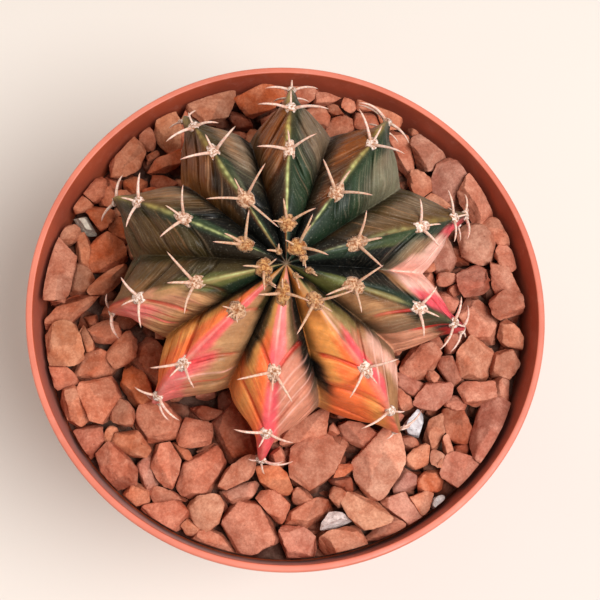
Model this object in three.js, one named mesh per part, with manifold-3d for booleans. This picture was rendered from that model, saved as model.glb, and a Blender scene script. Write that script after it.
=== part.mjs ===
// A chin cactus, Gymnocalycium mihanovichii, in a round 85 mm plastic pot that is top
// dressed with crushed brick. Millimetres, +Z up, origin at the centre of the pot's foot.

import * as THREE from 'three';
import { mergeVertices } from 'three/addons/utils/BufferGeometryUtils.js';
import Module from 'manifold-3d';

const wasm = await Module();
wasm.setup();

// ---- driving dimensions ----

const CLEARANCE = 0.3; // between two pieces that rest on each other

const POT_HEIGHT = 65;
const LIP_RADIUS = 42.5; // outside of the rolled lip
const LIP_THICKNESS = 1.5;
const COLLAR_HEIGHT = 11; // from the lip down to the underside of the collar
const COLLAR_DRAFT = 0.5; // what the collar narrows by towards its lower edge
const WALL = 1.5;
const SHOULDER_RADIUS = 39.6; // outside of the wall just under the collar
const FOOT_RADIUS = 30.5;
const FOOT_CHAMFER = 0.6;
const FOOT_RING = 3.2; // width of the ring that the pot stands on
const FLOOR_LIFT = 2; // the floor's underside above the ground
const DRAIN_COUNT = 6;
const DRAIN_RADIUS = 3;
const DRAIN_CIRCLE = 18;
const POT_SIDES = 48;

const SOIL_TOP = 52;
const BED_TOP = 57.8; // the packed small grit that the dressing stones are bedded in
const STONE_TOP = 61; // usual height of a dressing stone's upper side
const STONE_ROOT = 0.8; // how far a stone reaches down into the bed
const STONE_GAP = 0.34; // between neighbouring stones
const STONE_SQUARENESS = 2.6; // 2 is an ellipsoid, higher is blockier
const STONE_CORNERS = [1, 1.2]; // least and greatest reach of a corner, as a share
const STONE_TILT = 0.22; // greatest slope of a stone's upper side
const STONE_WAVER = 0.25; // how much the tops differ in height
const HALF_HEIGHTS = [1, 2.8]; // of the flattest and the tallest stone
const GRIT_COUNT = 46; // small stones between the listed ones
const GRIT_SIZES = [1, 1.7]; // their half lengths

const BODY_RADIUS = 28.5; // crown axis to a rib's crest, at the widest level
const BODY_RISE = 19.5; // widest level up to the crown
const BODY_DROP = 17; // widest level down to where the ribs run out
const BODY_CENTRE = new THREE.Vector3(-0.63, 3.65, 70);
const LEAN_X = -3.1; // degrees that the plant leans towards +X and +Y
const LEAN_Y = -9.9;
const CROWN_ANGLE = 6; // first ring of the skin, in degrees from the crown
const LAST_ANGLE = 158; // where the ribs have run out into the neck
const CREST_WIDTH = 0.05; // rounding of a crest, as a share of the half rib
const CHIN = 0.7; // swelling of the crest below an areole
const NECK = [[7.4, -19], [5.6, -25], [4.4, -31], [2.6, -34]]; // radius and height on the axis
const ROOM = 0.62; // how far the dressing and the soil keep off the plant
const HOLE_SIDES = 16;
const HOLE_MOUTH = [15, -14]; // radius and height on the axis, above the top of the soil

const AREOLE_RADIUS = 1.25;
const AREOLE_DEPTH = 1;
const CUSHION_SIDES = 6;
const AREOLE_STEP = 22; // degrees between areoles below the last listed one
const SPINE_LENGTH = 6.4;
const SPINE_RADIUS = 0.42;
const SPINE_FLOOR = STONE_TOP + 1.6; // no spine reaches lower

/**
 * The ribs, counterclockwise from the one nearest +X: azimuth in degrees, reach as a
 * share of the body's radius, depth of the furrow to the next rib, and the areoles in
 * degrees from the crown.
 */
const RIBS = [
  { azimuth: -16.3, reach: 0.997, furrow: 7.4, areoles: [21.3, 46.2, 74.4] },
  { azimuth: 17.7, reach: 1.012, furrow: 6.3, areoles: [21.8, 46.8, 75.4] },
  { azimuth: 56.4, reach: 1.026, furrow: 6.3, areoles: [5.7, 26.4, 51.7, 81.3] },
  { azimuth: 89.1, reach: 1.037, furrow: 7.3, areoles: [11.5, 36, 56.9, 81.6] },
  { azimuth: 122.6, reach: 1.001, furrow: 7.4, areoles: [23.5, 46.3, 85.5] },
  { azimuth: 155.8, reach: 1.028, furrow: 4.8, areoles: [13.1, 34.6, 57.3, 84] },
  { azimuth: 191.9, reach: 1.004, furrow: 7.5, areoles: [6.6, 28.4, 52, 91.8] },
  { azimuth: 223.6, reach: 0.993, furrow: 7.5, areoles: [20.4, 47.5, 76.5] },
  { azimuth: 263.9, reach: 1.025, furrow: 7.9, areoles: [8.4, 32.6, 57.8, 88.4] },
  { azimuth: 308.2, reach: 0.997, furrow: 7.9, areoles: [13.9, 41.9, 78.2] },
];

/**
 * The dressing stones that can be told apart, clockwise from the far side: x, y, half
 * length, half width, turn in degrees, and how far the stone lies above or below the rest.
 */
const STONES = [
  [-13.2, 36.0, 4.2, 2.9, 15, 2.0], [-4.8, 37.4, 4.4, 2.4, 22, 1.5],
  [2.4, 38.6, 3.3, 1.5, 0, 2.0], [6.6, 38.6, 3.2, 1.1, 12, 1.0],
  [4.8, 35.6, 2.5, 2.0, -30, 0], [8.2, 36.6, 1.8, 0.9, -50, 0],
  [10.6, 37.2, 1.8, 1.2, 80, 0.3], [9.0, 34.0, 3.0, 1.9, 60, -0.3],
  [13.4, 37.7, 1.9, 1.6, -30, 0.5], [13.7, 34.6, 2.4, 1.8, -20, 0],
  [18.0, 35.6, 3.0, 2.0, -50, 0.6], [20.0, 29.8, 4.2, 1.8, -65, 0],
  [22.3, 33.2, 1.0, 0.8, 0, 0.2], [24.7, 30.4, 3.6, 3.4, 30, 0.3],
  [23.2, 23.2, 2.7, 1.9, -60, 0], [25.8, 20.2, 2.8, 0.9, -25, -0.3],
  [28.6, 24.6, 4.2, 3.4, 60, 0.6], [33.2, 20.8, 4.8, 3.2, 105, 0.4],
  [35.9, 15.0, 3.1, 1.9, -40, 0], [33.0, 12.7, 3.5, 3.1, -30, 0],
  [37.2, 10.2, 2.9, 1.6, -75, 0.3], [26.5, 10.8, 3.4, 2.4, 100, -0.4],
  [26.8, 6.4, 2.0, 1.3, 20, -0.3], [31.9, 6.2, 3.9, 2.1, 38, 0],
  [36.4, 6.4, 3.4, 1.7, -55, 0], [37.0, 1.9, 3.3, 2.4, 20, 0.3],
  [26.8, 2.4, 2.1, 1.9, 0, -0.3], [33.0, -0.6, 3.8, 3.2, -40, 0],
  [37.6, -3.2, 2.9, 1.5, -40, -0.3], [31.8, -6.9, 3.6, 3.1, 0, 0.3],
  [36.7, -8.1, 2.9, 2.1, 50, 0], [22.5, -7.8, 3.8, 2.7, 30, 0],
  [27.2, -9.3, 2.7, 1.5, -65, 0.2], [24.2, -10.6, 1.1, 0.9, -50, -0.3],
  [31.4, -13.0, 3.4, 1.9, 20, 0.2], [35.8, -12.3, 1.9, 1.3, 80, -0.3],
  [20.4, -11.8, 2.9, 1.3, -25, 0], [18.7, -14.3, 2.2, 1.4, -60, -0.2],
  [24.5, -13.8, 3.2, 2.1, 30, 0.3], [28.0, -15.0, 1.8, 1.0, 15, 0],
  [28.2, -18.7, 3.3, 1.8, -65, -0.6], [33.4, -19.4, 6.0, 2.9, 68, 0.8],
  [24.8, -19.4, 3.0, 1.6, 75, 0.2], [20.2, -21.4, 1.7, 0.9, -20, -0.3],
  [26.5, -22.4, 2.1, 0.8, -80, -0.2], [21.5, -23.8, 2.3, 1.8, 40, 0],
  [24.8, -24.1, 1.7, 1.3, -35, 0], [27.8, -25.6, 3.6, 2.4, -20, 0.4],
  [28.8, -22.6, 1.5, 1.0, 0, -0.6], [23.2, -27.7, 2.4, 1.6, 40, 0],
  [19.5, -27.8, 1.9, 1.6, 0, 0], [21.8, -30.7, 2.3, 1.3, 25, -0.3],
  [19.2, -32.2, 3.2, 2.3, -20, 0.2], [12.2, -32.4, 4.1, 2.4, -25, 0.3],
  [17.0, -35.2, 2.8, 1.1, 20, -0.2], [15.0, -25.3, 5.0, 4.2, 50, 0.6],
  [5.5, -24.6, 6.3, 3.5, 47, 0.6], [12.0, -20.0, 3.6, 1.5, -15, -0.6],
  [3.0, -19.4, 4.2, 1.4, 25, -1.2], [9.2, -26.2, 2.0, 0.9, 30, -0.6],
  [9.4, -28.2, 1.5, 0.9, -15, -0.8], [8.3, -30.2, 1.5, 1.3, 60, 0],
  [2.5, -30.2, 1.7, 1.1, -20, -0.2], [-1.8, -31.6, 3.0, 1.9, -30, 0],
  [3.6, -32.7, 4.1, 1.8, 20, 0], [8.7, -36.7, 3.6, 1.9, -8, 0.6],
  [1.8, -37.2, 3.4, 2.2, -30, 0.2], [-5.8, -35.1, 4.8, 3.4, -38, 0.6],
  [-11.8, -37.3, 2.9, 1.3, -25, -0.3], [-15.3, -35.5, 1.8, 1.0, -35, -0.3],
  [-13.2, -32.9, 2.9, 2.6, -30, 0], [-19.0, -33.0, 3.4, 2.0, -22, 0],
  [-19.6, -30.2, 2.3, 1.0, -15, -0.2], [-14.2, -26.4, 4.8, 3.0, 48, 0.4],
  [-8.0, -26.8, 3.6, 1.5, 45, 0], [-7.2, -29.5, 2.4, 1.4, 30, -0.3],
  [-1.6, -27.6, 3.0, 1.9, -40, -0.3], [-8.2, -20.2, 4.3, 3.0, -55, -0.6],
  [-15.3, -20.3, 3.2, 2.3, 40, 0], [-13.2, -16.7, 2.3, 1.0, -8, -1.0],
  [-20.6, -18.6, 4.3, 2.9, -25, 0.2], [-19.4, -25.2, 3.7, 2.4, -75, 0],
  [-16.8, -23.3, 1.7, 0.8, -50, -0.3], [-25.2, -22.1, 3.4, 2.1, -18, 0.2],
  [-28.8, -20.9, 1.6, 0.9, 55, -0.2], [-31.8, -21.1, 2.5, 2.1, 0, 0],
  [-27.5, -25.6, 3.9, 2.6, -50, 0.2], [-22.3, -27.0, 2.4, 1.3, -70, -0.3],
  [-24.1, -30.0, 1.9, 1.6, 0, 0], [-30.2, -14.8, 4.0, 3.5, -50, 0.6],
  [-34.4, -15.9, 3.3, 1.7, -75, 0], [-26.7, -17.0, 2.7, 1.5, -55, -0.2],
  [-24.6, -12.0, 3.3, 1.9, -60, -0.3], [-21.6, -8.7, 3.9, 2.0, -70, -0.6],
  [-27.0, -7.2, 2.7, 2.2, 40, 0], [-31.7, -9.2, 3.3, 2.5, 40, 0],
  [-36.4, -11.3, 2.6, 1.2, -40, -0.2], [-36.6, -6.0, 4.1, 3.0, -75, 0.4],
  [-33.0, -5.0, 2.2, 0.9, -75, -0.3], [-30.6, -3.6, 2.5, 2.0, 0, 0],
  [-35.7, 0.2, 4.4, 1.6, 38, 0], [-29.9, 5.2, 4.2, 1.2, 42, 0],
  [-34.2, 5.2, 2.4, 1.7, 100, 0], [-37.6, 5.8, 7.0, 2.5, 96, 2.4],
  [-36.6, 12.8, 2.2, 1.5, 30, 0.8], [-34.1, 10.1, 3.2, 1.1, -82, 0],
  [-30.6, 9.8, 3.8, 2.5, 75, 0.2], [-28.3, 14.3, 2.5, 1.5, -70, 0],
  [-31.3, 16.3, 2.6, 1.9, -25, 0], [-25.6, 10.8, 1.6, 1.2, -70, -0.4],
  [-34.9, 18.3, 2.0, 1.6, 0, 0.4], [-32.6, 20.9, 2.8, 1.7, 65, 0.6],
  [-30.3, 19.4, 2.0, 1.1, 75, 0.2], [-28.0, 19.8, 1.7, 1.1, 0, 0],
  [-26.3, 22.4, 1.9, 1.5, 60, 0], [-22.8, 20.8, 1.6, 0.8, 5, -0.4],
  [-21.0, 22.8, 2.4, 1.1, -10, -0.8], [-20.8, 26.2, 3.4, 1.2, 25, 0],
  [-27.5, 26.4, 4.4, 2.1, 48, 0.6], [-24.2, 30.6, 2.5, 1.1, -80, 0.4],
  [-20.6, 31.8, 4.2, 2.3, 100, 0.8], [-17.3, 32.2, 3.5, 1.4, 85, 0.3],
  [-12.0, 32.0, 3.9, 1.7, 10, -0.2], [-8.5, 34.6, 2.2, 1.1, -30, -0.3],
  [-2.5, 34.6, 2.0, 1.3, 0, -0.2],
];

/** The white and cream stones: x, y, half length, half width, turn and lift. */
const PUMICE = [
  [21.3, -18.2, 2.0, 1.5, 75, 0.3],
  [7.6, -34.3, 2.9, 1.3, -5, 0.2],
  [-34.0, 14.7, 2.2, 1.1, -40, 0.4],
  [24.4, -31.0, 1.1, 0.9, 20, 0],
];

const RAD = Math.PI / 180;

// ---- general helpers ----

/** Seeded random numbers from 0 to 1, the same on every run. */
function randomFrom(seed) {
  let state = seed;
  return () => {
    state = (state + 0x6d2b79f5) | 0;
    let mixed = Math.imul(state ^ (state >>> 15), 1 | state);
    mixed = (mixed + Math.imul(mixed ^ (mixed >>> 7), 61 | mixed)) ^ mixed;
    return ((mixed ^ (mixed >>> 14)) >>> 0) / 4294967296;
  };
}

const mix = (from, to, share) => from + (to - from) * share;

/** 0 below `from`, 1 above `to`, smooth between. */
const ease = (value, from, to) => THREE.MathUtils.smoothstep(value, from, to);

/** A closed surface, as a solid that can be joined and cut. */
function solidOf(points, faces) {
  const vertProperties = new Float32Array(points.flatMap((point) => point.toArray()));
  const triVerts = new Uint32Array(faces);
  return new wasm.Manifold(new wasm.Mesh({ numProp: 3, vertProperties, triVerts }));
}

/** A three.js geometry, as a solid that can be joined and cut. */
function solidOfGeometry(geometry) {
  geometry.deleteAttribute('normal');
  geometry.deleteAttribute('uv');
  const merged = mergeVertices(geometry, 1e-4);
  const vertProperties = new Float32Array(merged.attributes.position.array);
  const triVerts = new Uint32Array(merged.index.array);
  return new wasm.Manifold(new wasm.Mesh({ numProp: 3, vertProperties, triVerts }));
}

function geometryOfSolid(solid) {
  const { vertProperties, triVerts } = solid.getMesh();
  const geometry = new THREE.BufferGeometry();
  geometry.setAttribute('position', new THREE.BufferAttribute(vertProperties, 3));
  geometry.setIndex(new THREE.BufferAttribute(triVerts, 1));
  geometry.computeVertexNormals();
  return geometry;
}

/**
 * A solid skinned over rings of equal length, with a point at either end. The rings run
 * counterclockwise as seen from the start point.
 */
function solidOfRings(start, rings, end) {
  const sides = rings[0].length;
  const points = [start, ...rings.flat(), end];
  const faces = [];
  const at = (ring, side) => 1 + ring * sides + (side % sides);
  for (let side = 0; side < sides; side++) {
    faces.push(0, at(0, side), at(0, side + 1));
    for (let ring = 0; ring + 1 < rings.length; ring++) {
      faces.push(at(ring, side), at(ring + 1, side), at(ring + 1, side + 1));
      faces.push(at(ring, side), at(ring + 1, side + 1), at(ring, side + 1));
    }
    faces.push(points.length - 1, at(rings.length - 1, side + 1), at(rings.length - 1, side));
  }
  return solidOf(points, faces);
}

/** A body of revolution from a profile that starts and ends on the axis, bottom first. */
function turned(profile) {
  const outline = profile.map(([radius, height]) => new THREE.Vector2(radius, height));
  const geometry = new THREE.LatheGeometry(outline, POT_SIDES);
  geometry.rotateX(Math.PI / 2);
  return solidOfGeometry(geometry);
}

function named(name, solid, color, roughness) {
  const material = new THREE.MeshStandardMaterial({ color, roughness, metalness: 0 });
  const mesh = new THREE.Mesh(geometryOfSolid(solid), material);
  mesh.name = name;
  return mesh;
}

// ---- pot ----

const COLLAR_BOTTOM = POT_HEIGHT - COLLAR_HEIGHT;
const LEDGE = COLLAR_BOTTOM + WALL; // inside, where the collar steps out
const FLOOR_TOP = FLOOR_LIFT + WALL;
const COLLAR_INSIDE = LIP_RADIUS - COLLAR_DRAFT - WALL;

/** Inside radius of the tapered wall under the collar. */
function wallInside(height) {
  const share = (height - FOOT_CHAMFER) / (COLLAR_BOTTOM - FOOT_CHAMFER);
  return mix(FOOT_RADIUS, SHOULDER_RADIUS, share) - WALL;
}

function makePot() {
  const roll = LIP_THICKNESS / 2;
  const rollCentre = [LIP_RADIUS - roll, POT_HEIGHT - roll];
  const lip = [0, 45, 90, 135, 180].map((angle) => [
    rollCentre[0] + roll * Math.cos(angle * RAD),
    rollCentre[1] + roll * Math.sin(angle * RAD),
  ]);
  let pot = turned([
    [0, FLOOR_LIFT],
    [FOOT_RADIUS - FOOT_RING - FOOT_CHAMFER, FLOOR_LIFT],
    [FOOT_RADIUS - FOOT_RING, 0],
    [FOOT_RADIUS - FOOT_CHAMFER, 0],
    [FOOT_RADIUS, FOOT_CHAMFER],
    [SHOULDER_RADIUS, COLLAR_BOTTOM],
    [LIP_RADIUS - COLLAR_DRAFT - FOOT_CHAMFER, COLLAR_BOTTOM],
    [LIP_RADIUS - COLLAR_DRAFT, COLLAR_BOTTOM + FOOT_CHAMFER],
    ...lip,
    [COLLAR_INSIDE, LEDGE + FOOT_CHAMFER],
    [wallInside(LEDGE), LEDGE],
    [wallInside(FLOOR_TOP + WALL), FLOOR_TOP + WALL],
    [wallInside(FLOOR_TOP) - WALL, FLOOR_TOP],
    [0, FLOOR_TOP],
  ]);
  for (let index = 0; index < DRAIN_COUNT; index++) {
    const angle = (2 * Math.PI * (index + 0.5)) / DRAIN_COUNT;
    const drain = new THREE.CylinderGeometry(DRAIN_RADIUS, DRAIN_RADIUS, 3 * FLOOR_TOP, 16);
    drain.rotateX(Math.PI / 2);
    drain.translate(DRAIN_CIRCLE * Math.cos(angle), DRAIN_CIRCLE * Math.sin(angle), FLOOR_LIFT);
    pot = pot.subtract(solidOfGeometry(drain));
  }
  return pot;
}

// ---- cactus ----

const AXIS = new THREE.Vector3(Math.tan(LEAN_X * RAD), Math.tan(LEAN_Y * RAD), 1).normalize();
const ACROSS = new THREE.Vector3(1, 0, 0).addScaledVector(AXIS, -AXIS.x).normalize();
const ALONG = new THREE.Vector3().crossVectors(AXIS, ACROSS);

/** A point of the leaning plant, from its azimuth, radius and height on its own axis. */
function plantPoint(azimuth, radius, height) {
  return BODY_CENTRE.clone()
    .addScaledVector(ACROSS, radius * Math.cos(azimuth * RAD))
    .addScaledVector(ALONG, radius * Math.sin(azimuth * RAD))
    .addScaledVector(AXIS, height);
}

/** How far the crest stands out, from the chins that swell below the areoles. */
function chinAt(rib, angle) {
  const stops = [0, ...rib.areoles, LAST_ANGLE];
  const next = Math.max(1, stops.findIndex((stop) => stop > angle));
  const share = (angle - stops[next - 1]) / (stops[next] - stops[next - 1]);
  return CHIN * Math.sin(Math.PI * Math.sqrt(share)) * Math.sin(Math.min(angle, 90) * RAD);
}

/**
 * A point of the ribbed skin. `place` counts ribs counterclockwise, with whole numbers on
 * the crests, and `angle` runs from 0 at the crown over 90 at the widest level. `swell`
 * lifts the point off the skin.
 */
function skinPoint(place, angle, swell = 0) {
  const index = Math.floor(place) % RIBS.length;
  const share = place - Math.floor(place);
  const rib = RIBS[index];
  const next = RIBS[(index + 1) % RIBS.length];
  const turn = next.azimuth - rib.azimuth + (index + 1 === RIBS.length ? 360 : 0);
  const sine = Math.sin(angle * RAD);
  const cosine = Math.cos(angle * RAD);
  const rise = angle < 90 ? BODY_RISE : BODY_DROP;

  const fromCrest = 1 - Math.abs(2 * share - 1); // 0 on a crest, 1 in the furrow
  const blunt = Math.hypot(fromCrest, CREST_WIDTH) - CREST_WIDTH;
  const bend = mix(1.1, 0.78, ease(angle, 20, 80)); // full flanks above, hollow ones below
  const runOut = 1 - 0.75 * ease(angle, 105, LAST_ANGLE);
  const depth = rib.furrow * Math.pow(sine, 0.75) * runOut * Math.pow(blunt, bend);
  const chin = mix(chinAt(rib, angle), chinAt(next, angle), share) * (1 - fromCrest) ** 2;

  const radius = BODY_RADIUS * mix(rib.reach, next.reach, share) * sine;
  const slope = new THREE.Vector2(sine / BODY_RADIUS, cosine / rise).normalize();
  const shift = swell + chin - depth;
  return plantPoint(
    rib.azimuth + share * turn,
    Math.max(0, radius + shift * slope.x),
    rise * cosine + shift * slope.y,
  );
}

const COLUMN_SHARES = [0, 0.05, 0.25, 0.5, 0.75, 0.95];
const ROOM_SHARES = [0, 0.25, 0.5, 0.75];
const RING_ANGLES = [
  CROWN_ANGLE, 11, 17, 24, 31, 38, 45, 52, 59, 66, 73, 80, 87, 94, 102, 111, 122, 136,
  LAST_ANGLE,
];

/** The ribbed body with its root neck. `swell` makes the room that it needs around it. */
function makeBody(shares, swell = 0) {
  const places = RIBS.flatMap((rib, index) => shares.map((share) => index + share));
  const rings = RING_ANGLES.map((angle) => places.map((place) => skinPoint(place, angle, swell)));
  const turnOf = (place) => {
    const out = skinPoint(place, 90).sub(BODY_CENTRE);
    return Math.atan2(out.dot(ALONG), out.dot(ACROSS)) / RAD;
  };
  for (const [radius, height] of NECK) {
    rings.push(places.map((place) => plantPoint(turnOf(place), radius + swell, height)));
  }
  const crown = plantPoint(0, 0, BODY_RISE - 0.6 + swell);
  const root = plantPoint(0, 0, NECK.at(-1)[1] - 1 - 2 * swell);
  return solidOfRings(crown, rings, root);
}

/** Every areole: where it sits, the way out of the skin there, and the way down the rib. */
function listAreoles() {
  const areoles = [];
  RIBS.forEach((rib, index) => {
    const angles = [...rib.areoles];
    for (let more = angles.at(-1) + AREOLE_STEP; more < 125; more += AREOLE_STEP) {
      if (skinPoint(index, more).z > SPINE_FLOOR + 3) {
        angles.push(more);
      }
    }
    for (const angle of angles) {
      const centre = skinPoint(index, angle);
      const down = skinPoint(index, angle + 1).sub(skinPoint(index, angle - 1)).normalize();
      const sideways = new THREE.Vector3().crossVectors(down, centre.clone().sub(BODY_CENTRE));
      sideways.normalize();
      const out = new THREE.Vector3().crossVectors(sideways, down);
      areoles.push({ index, angle, centre, down, out, sideways });
    }
  });
  return areoles;
}

/** The woolly cushion of an areole. */
function makeCushion({ centre, down, out, sideways, angle }) {
  const size = AREOLE_RADIUS * mix(1, 0.85, ease(angle, 40, 80));
  const ring = [];
  for (let side = 0; side < CUSHION_SIDES; side++) {
    const turn = (-2 * Math.PI * side) / CUSHION_SIDES;
    ring.push(centre.clone()
      .addScaledVector(sideways, 0.9 * size * Math.cos(turn))
      .addScaledVector(down, 1.1 * size * Math.sin(turn)));
  }
  const top = centre.clone().addScaledVector(out, AREOLE_DEPTH);
  const root = centre.clone().addScaledVector(out, -AREOLE_DEPTH);
  return solidOfRings(root, [ring], top);
}

/** One three-sided spine that leaves an areole and curves back towards the plant. */
function makeSpine(areole, turn, length, rise) {
  const { centre, down, out, sideways } = areole;
  const heading = down.clone().multiplyScalar(Math.cos(turn * RAD));
  heading.addScaledVector(sideways, Math.sin(turn * RAD));
  const curve = [0, 0.45, 1].map((share) => {
    const point = centre.clone().addScaledVector(out, -0.5);
    point.addScaledVector(heading, length * share * Math.cos(rise * RAD));
    point.addScaledVector(out, (length * share * Math.sin(rise * RAD) + 0.9) * (1 - 0.3 * share));
    point.z = Math.max(point.z, SPINE_FLOOR + 0.6 * (1 - share));
    return point;
  });
  const rings = [0, 1].map((index) => {
    const ahead = curve[index + 1].clone().sub(curve[index]).normalize();
    const flat = new THREE.Vector3().crossVectors(ahead, out).normalize();
    const up = new THREE.Vector3().crossVectors(ahead, flat);
    const radius = SPINE_RADIUS * (index ? 0.72 : 1);
    return [0, 120, 240].map((angle) =>
      curve[index].clone()
        .addScaledVector(flat, radius * Math.cos(angle * RAD))
        .addScaledVector(up, -radius * Math.sin(angle * RAD)));
  });
  return solidOfRings(curve[0], rings, curve[2]);
}

/** Turns from straight down the rib, length and rise of an areole's spines. */
function spinesOf({ angle }) {
  if (angle < 16) {
    return [[50, 0.55, 35], [-50, 0.6, 35]];
  }
  const inner = [[55, 1, 32], [-55, 1.05, 32], [3, 0.68, 22]];
  return angle < 70 ? inner : [[70, 0.95, 28], [-70, 1, 28], [32, 0.8, 12], [-30, 0.85, 14]];
}

function makeCactus() {
  const random = randomFrom(21);
  const parts = [makeBody(COLUMN_SHARES)];
  for (const areole of listAreoles()) {
    parts.push(makeCushion(areole));
    for (const [turn, share, rise] of spinesOf(areole)) {
      const swing = turn + mix(-9, 9, random());
      const length = SPINE_LENGTH * share * mix(0.88, 1.1, random());
      parts.push(makeSpine(areole, swing, length, rise + mix(-5, 5, random())));
    }
  }
  return wasm.Manifold.union(parts);
}

// ---- soil and dressing ----

/** The plain hole in the soil that the root neck stands in. */
function makeHole() {
  const rings = [HOLE_MOUTH, ...NECK].map(([radius, height]) => {
    const reach = (radius + ROOM) / Math.cos(Math.PI / HOLE_SIDES);
    const ring = [];
    for (let side = 0; side < HOLE_SIDES; side++) {
      ring.push(plantPoint((360 * side) / HOLE_SIDES, reach, height));
    }
    return ring;
  });
  const root = plantPoint(0, 0, NECK.at(-1)[1] - 1 - 2 * ROOM);
  return solidOfRings(plantPoint(0, 0, HOLE_MOUTH[1] + 1), rings, root);
}

function makeSoil() {
  const soil = turned([
    [0, FLOOR_TOP + CLEARANCE],
    [wallInside(FLOOR_TOP) - WALL - CLEARANCE, FLOOR_TOP + CLEARANCE],
    [wallInside(FLOOR_TOP + WALL) - CLEARANCE, FLOOR_TOP + WALL + CLEARANCE],
    [wallInside(SOIL_TOP) - CLEARANCE, SOIL_TOP],
    [0, SOIL_TOP],
  ]);
  return soil.subtract(makeHole());
}

/** A stone's place and size, with its seeded tilt and corner lengths. */
function stoneOf([x, y, halfLength, halfWidth, turn, lift], random) {
  const top = STONE_TOP + lift + mix(-STONE_WAVER, STONE_WAVER, random());
  const halfHeight = THREE.MathUtils.clamp(0.62 * halfWidth + 0.5, ...HALF_HEIGHTS);
  return {
    centre: new THREE.Vector3(x, y, top - halfHeight),
    halfLength,
    halfWidth,
    halfHeight,
    turn: turn * RAD,
    tilt: [mix(-STONE_TILT, STONE_TILT, random()), mix(-STONE_TILT, STONE_TILT, random())],
    spin: new THREE.Euler(6 * random(), 6 * random(), 6 * random()),
    seat: -STONE_ROOT,
    margin: STONE_GAP / 2,
    random,
  };
}

/** How far a stone reaches from its centre in a level direction. */
function stoneReach(stone, angle) {
  const along = stone.halfLength * Math.cos(angle - stone.turn);
  const across = stone.halfWidth * Math.sin(angle - stone.turn);
  return Math.hypot(along, across);
}

/** The corners and faces that a stone of this half length is broken to. */
function blankFor(halfLength) {
  const few = halfLength > 1.8 ? new THREE.IcosahedronGeometry(1) : new THREE.OctahedronGeometry(1);
  const blank = halfLength > 3.8 ? new THREE.DodecahedronGeometry(1) : few;
  return mergeVertices(blank.deleteAttribute('normal').deleteAttribute('uv'));
}

/** A broken stone that keeps clear of its neighbours and of the pot's wall. */
function makeStone(stone, neighbours) {
  const shape = blankFor(stone.halfLength);
  const source = shape.attributes.position;
  const points = [];
  for (let index = 0; index < source.count; index++) {
    const way = new THREE.Vector3().fromBufferAttribute(source, index).applyEuler(stone.spin);
    const power = STONE_SQUARENESS;
    const norm = Math.abs(way.x) ** power + Math.abs(way.y) ** power + Math.abs(way.z) ** power;
    way.multiplyScalar(norm ** (-1 / power) * mix(...STONE_CORNERS, stone.random()));
    const offset = new THREE.Vector3(way.x * stone.halfLength, way.y * stone.halfWidth, 0);
    offset.applyAxisAngle(new THREE.Vector3(0, 0, 1), stone.turn);
    const depth = stone.centre.z - BED_TOP - stone.seat;
    offset.z = way.z > 0 ? way.z * stone.halfHeight : Math.max(way.z, -1) * depth;
    keepApart(stone, neighbours, offset);
    offset.z += (offset.x * stone.tilt[0] + offset.y * stone.tilt[1]) * (way.z > 0 ? 1 : 0);
    points.push(keepInside(stone.centre.clone().add(offset), stone));
  }
  return solidOf(points, [...shape.index.array]);
}

/** Draws a corner in where it would pass the halfway plane to a neighbour. */
function keepApart(stone, neighbours, offset) {
  for (const other of neighbours) {
    const gap = other.centre.clone().sub(stone.centre).setZ(0);
    const distance = gap.length();
    const angle = Math.atan2(gap.y, gap.x);
    const own = stoneReach(stone, angle);
    const theirs = stoneReach(other, angle);
    const limit = (distance * own) / (own + theirs) - stone.margin;
    const passed = (offset.x * gap.x + offset.y * gap.y) / distance;
    if (passed > limit) {
      offset.x *= limit / passed;
      offset.y *= limit / passed;
    }
  }
}

/** Keeps a corner clear of the collar and no higher than the lip. */
function keepInside(point, stone) {
  const reach = COLLAR_INSIDE - 2 * CLEARANCE;
  const radius = Math.hypot(point.x, point.y);
  if (radius > reach) {
    point.x *= reach / radius;
    point.y *= reach / radius;
  }
  const highest = stone.centre.z + stone.halfHeight + STONE_WAVER;
  point.z = Math.min(point.z, highest, POT_HEIGHT - 2 * CLEARANCE);
  return point;
}

/** Small stones thrown, from a seed, into what the listed stones leave free. */
function fillWithGrit(stones, body) {
  const random = randomFrom(7);
  const inner = 17;
  const outer = COLLAR_INSIDE - 2;
  let left = GRIT_COUNT;
  for (let tries = 0; tries < 4000 && left > 0; tries++) {
    const radius = Math.sqrt(mix(inner ** 2, outer ** 2, random()));
    const angle = 2 * Math.PI * random();
    const size = mix(...GRIT_SIZES, random());
    const x = radius * Math.cos(angle);
    const y = radius * Math.sin(angle);
    const spot = new THREE.Vector3(x, y, 0);
    const taken = stones.some((stone) => {
      const gap = stone.centre.clone().setZ(0).distanceTo(spot);
      const way = Math.atan2(y - stone.centre.y, x - stone.centre.x);
      return gap < 0.75 * stoneReach(stone, way) + 0.9 * size;
    });
    if (!taken && !insideBody(spot.setZ(STONE_TOP - 1.5), body)) {
      stones.push(stoneOf([x, y, size, 0.8 * size, 360 * random(), -0.9], random));
      left -= 1;
    }
  }
}

/** Whether a point lies in the plant, or so near that a small stone would not fit. */
function insideBody(point, body) {
  const probe = new THREE.IcosahedronGeometry(1.2);
  probe.translate(point.x, point.y, point.z);
  return body.intersect(solidOfGeometry(probe)).volume() > 0;
}

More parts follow.
